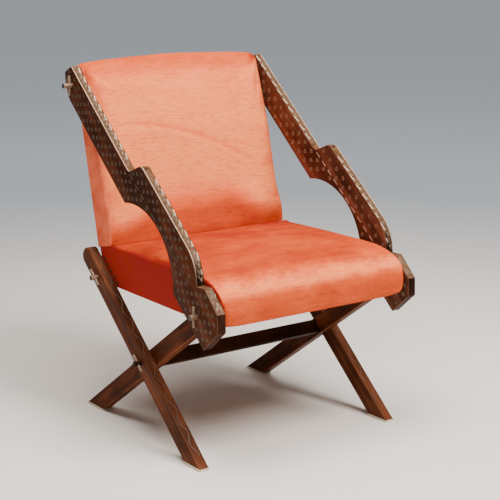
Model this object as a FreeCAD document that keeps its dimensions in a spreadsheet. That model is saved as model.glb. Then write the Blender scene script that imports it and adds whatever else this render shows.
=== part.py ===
import FreeCAD, Part
import math
import os
import re
import Sketcher
from FreeCAD import Placement, Rotation, Vector

# A knock-down armchair with two crossed legs a side, raking arms and an upholstered seat and back.
# Frame: +Z up, the sitter faces -Y, the sitter's left is +X, millimetres, floor at z = 0.
doc = FreeCAD.newDocument("armchair")

# Driving sizes, each set once.
CELLS = {
    # Side frames, seen along X.
    "frame_width": 532.0,
    "side_gap": 0.4,
    "leg_thickness": 24.0,
    "leg_width": 44.0,
    "arm_thickness": 22.0,
    "seat_pin_height": 363.0,
    "front_pin_y": -249.0,
    "rear_pin_y": 191.0,
    "back_pin_y": 296.7,
    "back_pin_height": 825.7,
    "front_foot_y": -231.0,
    "rear_foot_y": 267.0,
    "front_leg_tip": 86.0,
    "rear_leg_tip": 26.0,
    "leg_tip_radius": 19.0,
    "foot_pad_thickness": 4.0,
    "foot_pad_margin": 1.0,
    # Arm outline, along and across the line from its front pin to its back pin.
    "arm_upper_edge": 32.0,
    "arm_lower_edge": 38.0,
    "arm_hump_edge": 86.0,
    "arm_notch_along": 401.0,
    "arm_step_along": 373.0,
    "arm_knee_along": 87.0,
    "arm_knee_rise": 90.0,
    "arm_ledge_along": 45.0,
    "arm_ledge_rise": 51.0,
    "arm_shoulder_along": 21.4,
    "arm_shoulder_rise": 72.5,
    "arm_nose_top_along": 48.5,
    "arm_nose_top_rise": 68.2,
    "arm_nose_low_along": 77.1,
    "arm_nose_low_rise": 36.8,
    "arm_heel_along": 66.5,
    "arm_tip_front": 32.7,
    "arm_tip_crest": 46.1,
    "arm_tip_back": 23.7,
    "arm_tip_back_drop": 22.8,
    "arm_tip_shoulder": 12.0,
    "arm_arch_radius": 175.0,
    "arm_arch_along": 230.0,
    "arm_arch_drop": 147.7,
    "arm_knee_radius": 97.0,
    "arm_step_radius": 9.0,
    "arm_notch_radius": 10.0,
    # Round pins and the tapered pegs that lock them.
    "pin_diameter": 12.6,
    "pin_clearance": 0.15,
    "back_pin_reach": 25.0,
    "front_pin_reach": 19.5,
    "rear_pin_reach": 19.5,
    "cross_pin_reach": 17.5,
    "peg_length": 48.0,
    "peg_top_diameter": 6.6,
    "peg_tip_diameter": 5.2,
    "peg_clearance": 0.06,
    "peg_standoff": 8.0,
    "stretcher_height": 34.0,
    "stretcher_thickness": 18.0,
    # Seat frame.
    "stile_inset": 3.0,
    "rail_thickness": 24.0,
    "rail_height": 44.0,
    "rail_drop": 18.0,
    "rail_front_over": 51.0,
    "rail_rear_over": 20.0,
    "rear_rail_set": 46.0,
    "tenon_length": 15.0,
    "tenon_thickness": 9.0,
    "tenon_shoulder": 7.0,
    "joint_clearance": 0.1,
    "corner_block_leg": 42.0,
    "corner_block_height": 24.0,
    "web_width": 50.0,
    "web_thickness": 2.0,
    "web_landing": 18.0,
    # Seat cushion.
    "seat_side_clear": 0.6,
    "seat_front_over": 61.5,
    "seat_rear_over": 21.0,
    "seat_skirt_drop": 2.0,
    "seat_front_rise": 69.0,
    "seat_edge_rise": 98.0,
    "seat_crown_rise": 113.0,
    "seat_back_gap": 1.2,
    "seat_edge_dip": 4.0,
    "seat_front_round": 44.0,
    "pad_clearance": 0.3,
    # Back frame and cushion, along and across the line from the rear pin to the back pin.
    "stile_thickness": 24.0,
    "stile_depth": 28.0,
    "stile_toe": 20.0,
    "stile_head": 26.0,
    "back_rail_height": 46.0,
    "back_low_rail_rise": 74.0,
    "back_web_first": 6.0,
    "back_web_pitch": 66.0,
    "back_side_clear": 0.5,
    "back_pad_foot": 72.0,
    "back_pad_over": 50.0,
    "back_pad_low_front": 46.0,
    "back_pad_mid_front": 40.0,
    "back_pad_high_front": 29.0,
    "back_pad_crown": 9.0,
    "back_panel_depth": 27.0,
    # Nails along the seat's side.
    "nail_radius": 5.0,
    "nail_height": 2.5,
    "nail_pitch": 19.0,
    "nail_edge_gap": 9.0,
}
sheet = doc.addObject("Spreadsheet::Sheet", "sizes")
for row, (alias, number) in enumerate(CELLS.items(), start=1):
    sheet.set("A%d" % row, alias)
    sheet.set("B%d" % row, "%g" % number)
    sheet.setAlias("B%d" % row, alias)
doc.recompute()

# Values worked out from the driving sizes.
LAYOUT = {
    "half_inner": "frame_width / 2",
    "front_leg_angle": "atan2(seat_pin_height; rear_pin_y - front_foot_y)",
    "rear_leg_angle": "180 deg - atan2(seat_pin_height; rear_foot_y - front_pin_y)",
    "front_leg_pin": "sqrt(seat_pin_height ^ 2 + (rear_pin_y - front_foot_y) ^ 2)",
    "rear_leg_pin": "sqrt(seat_pin_height ^ 2 + (rear_foot_y - front_pin_y) ^ 2)",
    "front_run": "(rear_pin_y - front_foot_y) / seat_pin_height",
    "rear_run": "(rear_foot_y - front_pin_y) / seat_pin_height",
    "cross_z": "(rear_foot_y - front_foot_y) / (front_run + rear_run)",
    "cross_y": "front_foot_y + cross_z * front_run",
    "front_leg_cross": "cross_z * sqrt(1 + front_run ^ 2)",
    "rear_leg_cross": "cross_z * sqrt(1 + rear_run ^ 2)",
    "arm_angle": "atan2(back_pin_height - seat_pin_height; back_pin_y - front_pin_y)",
    "arm_span": "sqrt((back_pin_height - seat_pin_height) ^ 2 + (back_pin_y - front_pin_y) ^ 2)",
    "back_angle": "-atan2(back_pin_y - rear_pin_y; back_pin_height - seat_pin_height)",
    "back_span": "sqrt((back_pin_height - seat_pin_height) ^ 2 + (back_pin_y - rear_pin_y) ^ 2)",
    "rear_leg_inner": "half_inner - side_gap - leg_thickness",
    "stile_outer": "half_inner - stile_inset",
    "rail_outer": "stile_outer - stile_thickness - side_gap",
    "rail_inner": "rail_outer - rail_thickness",
    "rail_bottom": "seat_pin_height - rail_drop",
    "rail_top": "rail_bottom + rail_height",
    "rail_front": "front_pin_y - rail_front_over",
    "rail_rear": "rear_pin_y + rail_rear_over",
    "rear_rail_front": "rear_pin_y - rear_rail_set",
}
layout = doc.addObject("App::VarSet", "layout")


def bound(text):
    """Name the sheet or the layout set before every alias in an expression."""

    def owner(match):
        word = match.group(0)
        if word in CELLS:
            return "sizes." + word
        return "layout." + word if word in LAYOUT else word

    return re.sub(r"[a-z][a-z_]+", owner, text)


for name, text in LAYOUT.items():
    kind = "App::PropertyAngle" if name.endswith("_angle") else "App::PropertyFloat"
    layout.addProperty(kind, name)
    layout.setExpression(name, bound(text))
doc.recompute()


def size(name):
    """The number a cell or a layout value holds now."""
    return float(sheet.get(name)) if name in CELLS else float(getattr(layout, name))


def place(obj, x="0", y="0", z="0", turn=None, axis=Vector(1, 0, 0)):
    """Bind an object's position, and its turn about an axis, to expressions."""
    obj.Placement = Placement(Vector(0, 0, 0), Rotation(axis, 1.0))
    for letter, text in (("x", x), ("y", y), ("z", z)):
        obj.setExpression("Placement.Base." + letter, bound(text))
    obj.setExpression("Placement.Rotation.Angle", bound(turn if turn else "0"))
    return obj


def bind(obj, **sizes):
    """Bind named properties of an object to expressions."""
    for key, text in sizes.items():
        obj.setExpression(key, bound(text))
    return obj


def box(name, x, y, z, length, width, height):
    """A block from its low corner and its three sizes."""
    solid = bind(doc.addObject("Part::Box", name), Length=length, Width=width, Height=height)
    return place(solid, x, y, z)


def rod(name, x, y, z, radius, length):
    """A round bar along +X from its start point."""
    solid = bind(doc.addObject("Part::Cylinder", name), Radius=radius, Height=length)
    return place(solid, x, y, z, "90", Vector(0, 1, 0))


def taper(name, x, y, z, tip, top, length, lean):
    """A tapered peg from its thin end, standing up and leaning towards the rear by an angle."""
    solid = bind(doc.addObject("Part::Cone", name), Radius1=tip, Radius2=top, Height=length)
    return place(solid, x, y, z, lean)


def cut(name, base, tools):
    """Take tools away from a base."""
    result = base
    for count, tool in enumerate(tools, start=1):
        step = name if count == len(tools) else "%s_cut_%d" % (name, count)
        taken = doc.addObject("Part::Cut", step)
        taken.Base = result
        taken.Tool = tool
        result = taken
    return result


def fuse(name, solids):
    """Join solids into one."""
    joined = doc.addObject("Part::MultiFuse", name)
    joined.Shapes = solids
    joined.Refine = True
    return joined


def group(name, solids):
    """Separate solids held in one node."""
    held = doc.addObject("Part::Compound", name)
    held.Links = solids
    return held


def side_sketch(body, name):
    """A sketch on a body's own YZ plane."""
    plane = [f for f in body.Origin.OriginFeatures if f.Role == "YZ_Plane"][0]
    sketch = body.newObject("Sketcher::SketchObject", name)
    sketch.AttachmentSupport = [(plane, "")]
    sketch.MapMode = "FlatFace"
    return sketch


def hold(sketch, geo, point, along, across, start):
    """Tie one point of a sketch to two expressions, starting near its place."""
    for kind, text, value in (("DistanceX", along, start.x), ("DistanceY", across, start.y)):
        index = sketch.addConstraint(Sketcher.Constraint(kind, -1, 1, geo, point, value))
        sketch.setExpression("Constraints[%d]" % index, bound(text))


def reckon(text):
    """The present value of an expression."""
    return float(sheet.evalExpression(bound(text)))


def outline(sketch, corners):
    """A closed line through corners given as pairs of expressions."""
    spots = [Vector(reckon(a), reckon(b), 0) for a, b in corners]
    first = sketch.GeometryCount
    for index, spot in enumerate(spots):
        sketch.addGeometry(Part.LineSegment(spot, spots[(index + 1) % len(spots)]))
    for index in range(len(spots)):
        following = first + (index + 1) % len(spots)
        sketch.addConstraint(Sketcher.Constraint("Coincident", first + index, 2, following, 1))
    for index, (along, across) in enumerate(corners):
        hold(sketch, first + index, 1, along, across, spots[index])


def circle(sketch, along, across, radius):
    """A circle with its centre and radius tied to expressions."""
    centre = Vector(reckon(along), reckon(across), 0)
    geo = sketch.addGeometry(Part.Circle(centre, Vector(0, 0, 1), reckon(radius)))
    hold(sketch, geo, 3, along, across, centre)
    index = sketch.addConstraint(Sketcher.Constraint("Radius", geo, reckon(radius)))
    sketch.setExpression("Constraints[%d]" % index, bound(radius))


def board(name, corners, holes, thickness, rounds):
    """A flat board: an outline, round cuts right through, and rounded corners."""
    body = doc.addObject("PartDesign::Body", name)
    sketch = side_sketch(body, name + "_outline")
    outline(sketch, corners)
    pad = body.newObject("PartDesign::Pad", name + "_pad")
    pad.Profile = sketch
    pad.setExpression("Length", bound(thickness))
    doc.recompute()
    last = pad
    for count, (corner, radius) in enumerate(rounds, start=1):
        spot = Vector(0, reckon(corner[0]), reckon(corner[1]))
        last = round_edge(body, last, "%s_round_%d" % (name, count), spot, radius)
    for count, (along, across, radius) in enumerate(holes, start=1):
        drill = side_sketch(body, "%s_bore_%d" % (name, count))
        circle(drill, along, across, radius)
        bore = body.newObject("PartDesign::Pocket", "%s_pocket_%d" % (name, count))
        bore.Profile = drill
        bore.Type = "ThroughAll"
        bore.Midplane = True
        doc.recompute()
    return body


def round_edge(body, before, name, spot, radius):
    """Round the edge that runs along X through a spot of the board's outline."""
    for index, edge in enumerate(before.Shape.Edges, start=1):
        ends = [v.Point for v in edge.Vertexes]
        flat = [math.hypot(p.y - spot.y, p.z - spot.z) for p in ends]
        if len(ends) == 2 and max(flat) < 0.01:
            rounded = body.newObject("PartDesign::Fillet", name)
            rounded.Base = (before, ["Edge%d" % index])
            rounded.setExpression("Radius", bound(radius))
            doc.recompute()
            return rounded
    raise ValueError("no edge to round at %s" % spot)


SIDES = (("left", 1), ("right", -1))
BORE = "pin_diameter / 2 + pin_clearance"


def low_x(side, inner, thickness):
    """The low X of a piece that starts at an inner distance from the middle."""
    return inner if side > 0 else "-(%s) - (%s)" % (inner, thickness)


# Arms: a board with a stepped top, an arched underside and a faceted front end.
ARM_CORNERS = [
    ("arm_notch_along", "arm_upper_edge"),
    ("arm_span + arm_tip_front", "arm_upper_edge"),
    ("arm_span + arm_tip_crest", "0"),
    ("arm_span + arm_tip_back", "-arm_tip_back_drop"),
    ("arm_span - arm_tip_shoulder", "-arm_lower_edge"),
    ("-arm_heel_along", "-arm_lower_edge"),
    ("-arm_nose_low_along", "arm_nose_low_rise"),
    ("-arm_nose_top_along", "arm_nose_top_rise"),
    ("arm_shoulder_along", "arm_shoulder_rise"),
    ("arm_ledge_along", "arm_ledge_rise"),
    ("arm_knee_along", "arm_knee_rise"),
    ("arm_step_along", "arm_hump_edge"),
]
ARM_HOLES = [
    ("arm_arch_along", "-arm_arch_drop", "arm_arch_radius"),
    ("0", "0", BORE),
    ("arm_span", "0", BORE),
]
ARM_ROUNDS = [
    (ARM_CORNERS[10], "arm_knee_radius"),
    (ARM_CORNERS[11], "arm_step_radius"),
    (ARM_CORNERS[0], "arm_notch_radius"),
]
for word, side in SIDES:
    arm = board("arm_" + word, ARM_CORNERS, ARM_HOLES, "arm_thickness", ARM_ROUNDS)
    low = low_x(side, "half_inner", "arm_thickness")
    place(arm, low, "front_pin_y", "seat_pin_height", "arm_angle")


def leg(name, angle, pin, cross, tip):
    """A straight leg, cut level at the floor pad and rounded at the top, along its own axis."""
    half = "leg_width / 2"
    foot = "foot_pad_thickness / sin(%s)" % angle
    slope = "%s / tan(%s)" % (half, angle)
    corners = [
        ("%s - %s" % (foot, slope), half),
        ("%s + %s" % (foot, slope), "-" + half),
        ("%s + %s" % (pin, tip), "-" + half),
        ("%s + %s" % (pin, tip), half),
    ]
    holes = [(pin, "0", BORE), (cross, "0", BORE)]
    rounds = [(corners[2], "leg_tip_radius"), (corners[3], "leg_tip_radius")]
    return board(name, corners, holes, "leg_thickness", rounds)


for word, side in SIDES:
    outer = leg("front_leg_" + word, "front_leg_angle", "front_leg_pin", "front_leg_cross", "front_leg_tip")
    place(outer, low_x(side, "half_inner", "leg_thickness"), "front_foot_y", "0", "front_leg_angle")
    inner = leg("rear_leg_" + word, "rear_leg_angle", "rear_leg_pin", "rear_leg_cross", "rear_leg_tip")
    place(inner, low_x(side, "rear_leg_inner", "leg_thickness"), "rear_foot_y", "0", "rear_leg_angle")

# Pads under the four feet.
for word, side in SIDES:
    for which, foot_y, run, angle, start in (
        ("front", "front_foot_y", "front_run", "front_leg_angle", "half_inner"),
        ("rear", "rear_foot_y", "-rear_run", "rear_leg_angle", "rear_leg_inner"),
    ):
        across = "leg_width / sin(%s) + 2 * foot_pad_margin" % angle
        middle = "%s + foot_pad_thickness * (%s)" % (foot_y, run)
        box(
            "foot_pad_%s_%s" % (which, word),
            "%s - foot_pad_margin" % low_x(side, start, "leg_thickness"),
            "%s - (%s) / 2" % (middle, across),
            "0",
            "leg_thickness + 2 * foot_pad_margin",
            across,
            "foot_pad_thickness",
        )

# Where each peg crosses its pin: node name, pin place, outer face of the board, lean to the rear.
PEG_LEAN = "front_leg_angle - 90 deg"
PEGS = (
    ("back", "back_pin_y", "back_pin_height", "half_inner + arm_thickness", "0"),
    ("front", "front_pin_y", "seat_pin_height", "half_inner + arm_thickness", "0"),
    ("rear", "rear_pin_y", "seat_pin_height", "half_inner + leg_thickness", PEG_LEAN),
    ("cross", "cross_y", "cross_z", "half_inner + leg_thickness", PEG_LEAN),
)


def peg(name, place_of, side, spare):
    """A peg through a pin, or with spare radius the hole it needs."""
    which, pin_y, pin_z, face, lean = place_of
    across = "%d * (%s + peg_standoff)" % (side, face)
    back = "%s - peg_length / 2 * cos(%s)" % (pin_y, "front_leg_angle")
    down = "%s - peg_length / 2 * sin(%s)" % (pin_z, "front_leg_angle")
    if lean == "0":
        back = pin_y
        down = "%s - peg_length / 2" % pin_z
    tip = "peg_tip_diameter / 2 + %s" % spare
    top = "peg_top_diameter / 2 + %s" % spare
    return taper(name, across, back, down, tip, top, "peg_length", lean)


# Three pins a side, each fixed in the seat or back frame and drilled for its peg.
PIN_INNER = {"back": "stile_outer - stile_thickness", "front": "rail_inner", "rear": "rail_inner"}
for place_of in PEGS:
    which, pin_y, pin_z, face, lean = place_of
    for word, side in SIDES:
        peg("peg_%s_%s" % (which, word), place_of, side, "0")
        if which == "cross":
            continue
        long = "%s + %s_pin_reach - (%s)" % (face, which, PIN_INNER[which])
        start = low_x(side, PIN_INNER[which], long)
        bar = rod("pin_%s_%s_bar" % (which, word), start, pin_y, pin_z, "pin_diameter / 2", long)
        hole = peg("pin_%s_%s_hole" % (which, word), place_of, side, "peg_clearance")
        cut("pin_%s_%s" % (which, word), bar, [hole])

# Stretcher between the rear-footed legs, its round ends running out through both legs.
long = "2 * (half_inner + leg_thickness + cross_pin_reach)"
span = "2 * (rear_leg_inner - side_gap)"
bar = box(
    "stretcher_rail",
    "-(%s) / 2" % span,
    "-stretcher_thickness / 2",
    "-stretcher_height / 2",
    span,
    "stretcher_thickness",
    "stretcher_height",
)
tenon = rod("stretcher_tenon", "-(%s) / 2" % long, "0", "0", "pin_diameter / 2", long)
blank = fuse("stretcher_blank", [bar, tenon])
place(blank, "0", "cross_y", "cross_z", "rear_leg_angle - 180 deg")
holes = [peg("stretcher_hole_" + word, PEGS[3], side, "peg_clearance") for word, side in SIDES]
cut("stretcher", blank, holes)


def mortise(name, x, y, z, length, width, height):
    """A pocket for a tenon, a little larger all round."""
    return box(
        name,
        "%s - joint_clearance" % x,
        "%s - joint_clearance" % y,
        "%s - joint_clearance" % z,
        "%s + 2 * joint_clearance" % length,
        "%s + 2 * joint_clearance" % width,
        "%s + 2 * joint_clearance" % height,
    )


# Seat frame: two side rails, with a front and a rear rail tenoned between them.
TENON_Z = "rail_bottom + tenon_shoulder"
TENON_TALL = "rail_height - 2 * tenon_shoulder"
TENON_IN = "(rail_thickness - tenon_thickness) / 2"
CROSS_RAILS = (("front", "rail_front"), ("rear", "rear_rail_front"))
for which, start in CROSS_RAILS:
    bar = box(
        "seat_%s_bar" % which,
        "-rail_inner",
        start,
        "rail_bottom",
        "2 * rail_inner",
        "rail_thickness",
        "rail_height",
    )
    tongue = box(
        "seat_%s_tongue" % which,
        "-rail_inner - tenon_length",
        "%s + %s" % (start, TENON_IN),
        TENON_Z,
        "2 * (rail_inner + tenon_length)",
        "tenon_thickness",
        TENON_TALL,
    )
    fuse("seat_%s_rail" % which, [bar, tongue])
for word, side in SIDES:
    bar = box(
        "seat_side_bar_" + word,
        low_x(side, "rail_inner", "rail_thickness"),
        "rail_front",
        "rail_bottom",
        "rail_thickness",
        "rail_rear - rail_front",
        "rail_height",
    )
    pockets = [
        mortise(
            "seat_side_mortise_%s_%s" % (which, word),
            low_x(side, "rail_inner", "tenon_length"),
            "%s + %s" % (start, TENON_IN),
            TENON_Z,
            "tenon_length",
            "tenon_thickness",
            TENON_TALL,
        )
        for which, start in CROSS_RAILS
    ]
    bores = [
        rod(
            "seat_side_bore_%s_%s" % (which, word),
            low_x(side, "rail_inner - 1", "rail_thickness + 2"),
            pin_y,
            "seat_pin_height",
            "pin_diameter / 2 + joint_clearance / 2",
            "rail_thickness + 2",
        )
        for which, pin_y in (("front", "front_pin_y"), ("rear", "rear_pin_y"))
    ]
    cut("seat_side_rail_" + word, bar, pockets + bores)


def prism(points, height):
    """An upright prism on a polygon."""
    return Part.Face(Part.makePolygon(points + points[:1])).extrude(Vector(0, 0, height))


def shape(name, solid):
    """Hold a shape worked out from the sizes in the document."""
    held = doc.addObject("Part::Feature", name)
    held.Shape = solid
    return held


# Corner blocks glued inside the seat frame.
reach = size("corner_block_leg")
base_z = size("rail_bottom") + 4
blocks = []
for side in (1, -1):
    for corner_y, inward in (
        (size("rail_front") + size("rail_thickness"), 1),
        (size("rear_rail_front"), -1),
    ):
        corner_x = side * size("rail_inner")
        spots = [
            Vector(corner_x, corner_y, base_z),
            Vector(corner_x - side * reach, corner_y, base_z),
            Vector(corner_x, corner_y + inward * reach, base_z),
        ]
        blocks.append(prism(spots, size("corner_block_height")))
shape("seat_corner_blocks", Part.makeCompound(blocks))

# Webbing across the top of the seat frame, lengthwise straps under the cross straps.
straps = []
for count in (-1.5, -0.5, 0.5, 1.5):
    straps.append(
        box(
            "seat_web_long_%d" % (count * 2 + 3),
            "%g * (2 * rail_inner / 4) - web_width / 2" % count,
            "rail_front + rail_thickness - web_landing",
            "rail_top",
            "web_width",
            "rear_rail_front - rail_front - rail_thickness + 2 * web_landing",
            "web_thickness",
        )
    )
group("seat_webbing_long", straps)
straps = []
for count in (-1.5, -0.5, 0.5, 1.5):
    straps.append(
        box(
            "seat_web_cross_%d" % (count * 2 + 3),
            "-rail_inner - web_landing",
            "(rail_front + rail_thickness + rear_rail_front) / 2"
            " + %g * ((rear_rail_front - rail_front - rail_thickness) / 4) - web_width / 2" % count,
            "rail_top + web_thickness",
            "2 * (rail_inner + web_landing)",
            "web_width",
            "web_thickness",
        )
    )
group("seat_webbing_cross", straps)


def crown_wire(spot, half, foot, edge, crest, corner):
    """A closed section: flat foot, straight sides, rounded corners and a crowned top. spot maps (across, up)."""
    low = edge - corner
    lean = corner * 0.29
    left = [spot(-half, foot), spot(-half, low), spot(-half + lean, edge - lean), spot(-half + corner, edge)]
    right = [spot(half - corner, edge), spot(half - lean, edge - lean), spot(half, low), spot(half, foot)]
    edges = [
        Part.LineSegment(left[0], left[1]).toShape(),
        Part.Arc(left[1], left[2], left[3]).toShape(),
        Part.Arc(left[3], spot(0, crest), right[0]).toShape(),
        Part.Arc(right[0], right[1], right[2]).toShape(),
        Part.LineSegment(right[2], right[3]).toShape(),
        Part.LineSegment(right[3], left[0]).toShape(),
    ]
    return Part.Wire(edges)


def block(low, high):
    """A plain block between two corners."""
    return Part.makeBox(high.x - low.x, high.y - low.y, high.z - low.z, low)


# Seat cushion: a crowned form that drops over the rails, hollow for the frame and notched for legs and stiles.
half = size("half_inner") - size("seat_side_clear")
foot = size("rail_bottom") - size("seat_skirt_drop")
front = size("front_pin_y") - size("seat_front_over")
rear = size("rear_pin_y") + size("seat_rear_over")
rounding = size("seat_front_round")
crease = size("rear_pin_y") - size("back_pad_low_front") + 12
middle = (front + crease) / 2
front_rise = size("seat_front_rise")
edge_rise = size("seat_edge_rise")
crown_rise = size("seat_crown_rise")
lean = math.radians(-size("back_angle"))


def under_back(at):
    """The height of the back cushion's underside over the seat's foot, at a place along Y."""
    along = size("back_pad_foot")
    return (
        size("seat_pin_height")
        + along / math.cos(lean)
        - (at - size("rear_pin_y")) * math.tan(lean)
        - size("seat_back_gap")
        - foot
    )


crease_rise = under_back(crease)
rear_rise = under_back(rear)
edge_dip = size("seat_edge_dip")
SEAT_STATIONS = (
    (front, front_rise, front_rise + 2, 10.0),
    (front + 0.12 * rounding, front_rise + 0.5 * (edge_rise - front_rise), crown_rise - 25, 15.0),
    (front + 0.45 * rounding, edge_rise - 4, crown_rise - 12, 20.0),
    (front + rounding, edge_rise, crown_rise - 5, 22.0),
    (middle, edge_rise, crown_rise, 22.0),
    (crease - 40, crease_rise - edge_dip + 3, crease_rise + 6, 20.0),
    (crease, crease_rise - edge_dip, crease_rise, 18.0),
    (rear, rear_rise - edge_dip, rear_rise, 16.0),
)
wires = []
for at, edge, crest, corner in SEAT_STATIONS:
    wires.append(
        crown_wire(lambda a, b, at=at: Vector(a, at, b), half, foot, foot + edge, foot + crest, corner)
    )
cushion = Part.makeLoft(wires, True, True)
clear = size("pad_clearance")
web_top = size("rail_top") + 2 * size("web_thickness")
rail_out = size("rail_outer") + clear
frame_room = block(
    Vector(-rail_out, size("rail_front") - clear, foot - 5),
    Vector(rail_out, size("rail_rear") + clear, web_top + clear),
)
cushion = cushion.cut(frame_room)
leg_high = size("seat_pin_height") + size("leg_width") / 2 + 20
leg_front = size("front_pin_y") - size("rear_leg_tip") - 10
leg_rear = size("front_pin_y") + 86
for side in (1, -1):
    near = size("rear_leg_inner") - 0.8
    far = size("half_inner") + 5
    ends = sorted((side * near, side * far))
    notch = block(Vector(ends[0], leg_front, foot - 5), Vector(ends[1], leg_rear, leg_high))
    cushion = cushion.cut(notch)
    bridge = sorted((side * (rail_out - 1), side * near))
    slot = block(
        Vector(bridge[0], size("front_pin_y") - 7.5, foot - 5),
        Vector(bridge[1], size("front_pin_y") + 7.5, size("seat_pin_height") + 7.5),
    )
    cushion = cushion.cut(slot)
    stile_in = size("stile_outer") - size("stile_thickness") - clear
    ends = sorted((side * stile_in, side * (size("stile_outer") + clear)))
    slot = block(
        Vector(ends[0], size("rear_pin_y") - 30, foot - 5),
        Vector(ends[1], rear + 30, foot + 200),
    )
    cushion = cushion.cut(slot)
    bridge = sorted((side * (size("stile_outer") - 1), side * far))
    slot = block(
        Vector(bridge[0], size("rear_pin_y") - 7.5, foot - 5),
        Vector(bridge[1], size("rear_pin_y") + 7.5, size("seat_pin_height") + 7.5),
    )
    cushion = cushion.cut(slot)
shape("seat_pad", cushion)

# Back frame: two stiles and two tenoned rails, in a plane leaning back on the rear pins.
BACK_PLACE = ("0", "rear_pin_y", "seat_pin_height", "back_angle")
BACK_TENON_Y = "-tenon_thickness / 2"
BACK_TENON_TALL = "back_rail_height - 2 * tenon_shoulder"
STILE_INNER = "stile_outer - stile_thickness"
BACK_RAILS = (("bottom", "back_low_rail_rise"), ("top", "back_span + stile_head - back_rail_height - 60"))
for which, start in BACK_RAILS:
    bar = box(
        "back_%s_bar" % which,
        "-(%s)" % STILE_INNER,
        "-stile_depth / 2",
        start,
        "2 * (%s)" % STILE_INNER,
        "stile_depth",
        "back_rail_height",
    )
    tongue = box(
        "back_%s_tongue" % which,
        "-(%s) - tenon_length" % STILE_INNER,
        BACK_TENON_Y,
        "%s + tenon_shoulder" % start,
        "2 * (%s + tenon_length)" % STILE_INNER,
        "tenon_thickness",
        BACK_TENON_TALL,
    )
    place(fuse("back_%s_rail" % which, [bar, tongue]), *BACK_PLACE)
for word, side in SIDES:
    bar = box(
        "back_stile_bar_" + word,
        low_x(side, STILE_INNER, "stile_thickness"),
        "-stile_depth / 2",
        "-stile_toe",
        "stile_thickness",
        "stile_depth",
        "back_span + stile_head + stile_toe",
    )
    pockets = [
        mortise(
            "back_stile_mortise_%s_%s" % (which, word),
            low_x(side, STILE_INNER, "tenon_length"),
            BACK_TENON_Y,
            "%s + tenon_shoulder" % start,
            "tenon_length",
            "tenon_thickness",
            BACK_TENON_TALL,
        )
        for which, start in BACK_RAILS
    ]
    bores = [
        rod(
            "back_stile_bore_%s_%s" % (which, word),
            low_x(side, STILE_INNER + " - 1", "stile_thickness + 2"),
            "0",
            rise,
            "pin_diameter / 2 + joint_clearance / 2",
            "stile_thickness + 2",
        )
        for which, rise in (("low", "0"), ("high", "back_span"))
    ]
    place(cut("back_stile_" + word, bar, pockets + bores), *BACK_PLACE)

# Webbing on the front of the back frame, from stile to stile.
straps = []
for count in range(4):
    straps.append(
        box(
            "back_web_%d" % count,
            "-(%s) - web_landing" % STILE_INNER,
            "-stile_depth / 2 - web_thickness",
            "back_low_rail_rise + back_rail_height + back_web_first + %d * back_web_pitch" % count,
            "2 * (%s + web_landing)" % STILE_INNER,
            "web_thickness",
            "web_width",
        )
    )
place(group("back_webbing", straps), *BACK_PLACE)

# Back cushion: crowned in front, wrapped round the sides and the top of the frame.
half = size("half_inner") - size("back_side_clear")
plane = -(size("stile_depth") / 2 + clear)
low = size("back_pad_foot")
top = size("back_span") + size("back_pad_over")
rise = top - low
low_front = size("back_pad_low_front")
mid_front = size("back_pad_mid_front")
high_front = size("back_pad_high_front")
crown = size("back_pad_crown")
BACK_STATIONS = (
    (low, low_front, crown, 16.0),
    (low + 0.10 * rise, low_front + 2, crown, 16.0),
    (low + 0.45 * rise, mid_front, crown, 16.0),
    (low + 0.80 * rise, high_front + 4, crown, 15.0),
    (top - 28, high_front - 4, crown - 2, 13.0),
    (top - 12, high_front - 12, crown - 4, 11.0),
    (top - 3, high_front - 24, 2.0, 8.0),
    (top, high_front - 34, 1.0, 5.0),
)
wires = []
for at, ahead, bulge, corner in BACK_STATIONS:
    wires.append(
        crown_wire(lambda a, b, at=at: Vector(a, -b, at), half, plane, ahead, ahead + bulge, corner)
    )
cushion = Part.makeLoft(wires, True, True)
side_room = size("stile_outer") + clear
front_room = -(size("stile_depth") / 2 + size("web_thickness") + clear)
head_room = size("back_span") + size("stile_head") + clear
frame_room = block(Vector(-side_room, front_room, -50), Vector(side_room, 60, head_room))
back_place = Placement(
    Vector(0, size("rear_pin_y"), size("seat_pin_height")),
    Rotation(Vector(1, 0, 0), size("back_angle")),
)
cushion = cushion.cut(frame_room)
for side in (1, -1):
    bridge = sorted((side * (side_room - 1), side * (half + 5)))
    slot = block(
        Vector(bridge[0], -7.5, size("back_span") - 7.5), Vector(bridge[1], 40, size("back_span") + 7.5)
    )
    cushion = cushion.cut(slot)
shape("back_pad", cushion).Placement = back_place

# Outside back: a thin padded panel that closes the rear of the frame.
panel_in = size("stile_depth") / 2 + 2 * clear
panel_out = size("back_panel_depth")
PANEL_STATIONS = (
    (low - 4, panel_out - 3, 1.0, 5.0),
    (low + 0.3 * rise, panel_out - 1, 1.5, 5.0),
    (low + 0.8 * rise, panel_out - 1, 1.5, 5.0),
    (top - 12, panel_out - 4, 1.0, 4.0),
    (top - 4, panel_out - 9, 0.5, 2.0),
)
wires = []
for at, behind, bulge, corner in PANEL_STATIONS:
    wires.append(
        crown_wire(lambda a, b, at=at: Vector(a, b, at), half, panel_in, behind, behind + bulge, corner)
    )
shape("back_panel", Part.makeLoft(wires, True, True)).Placement = back_place

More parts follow.
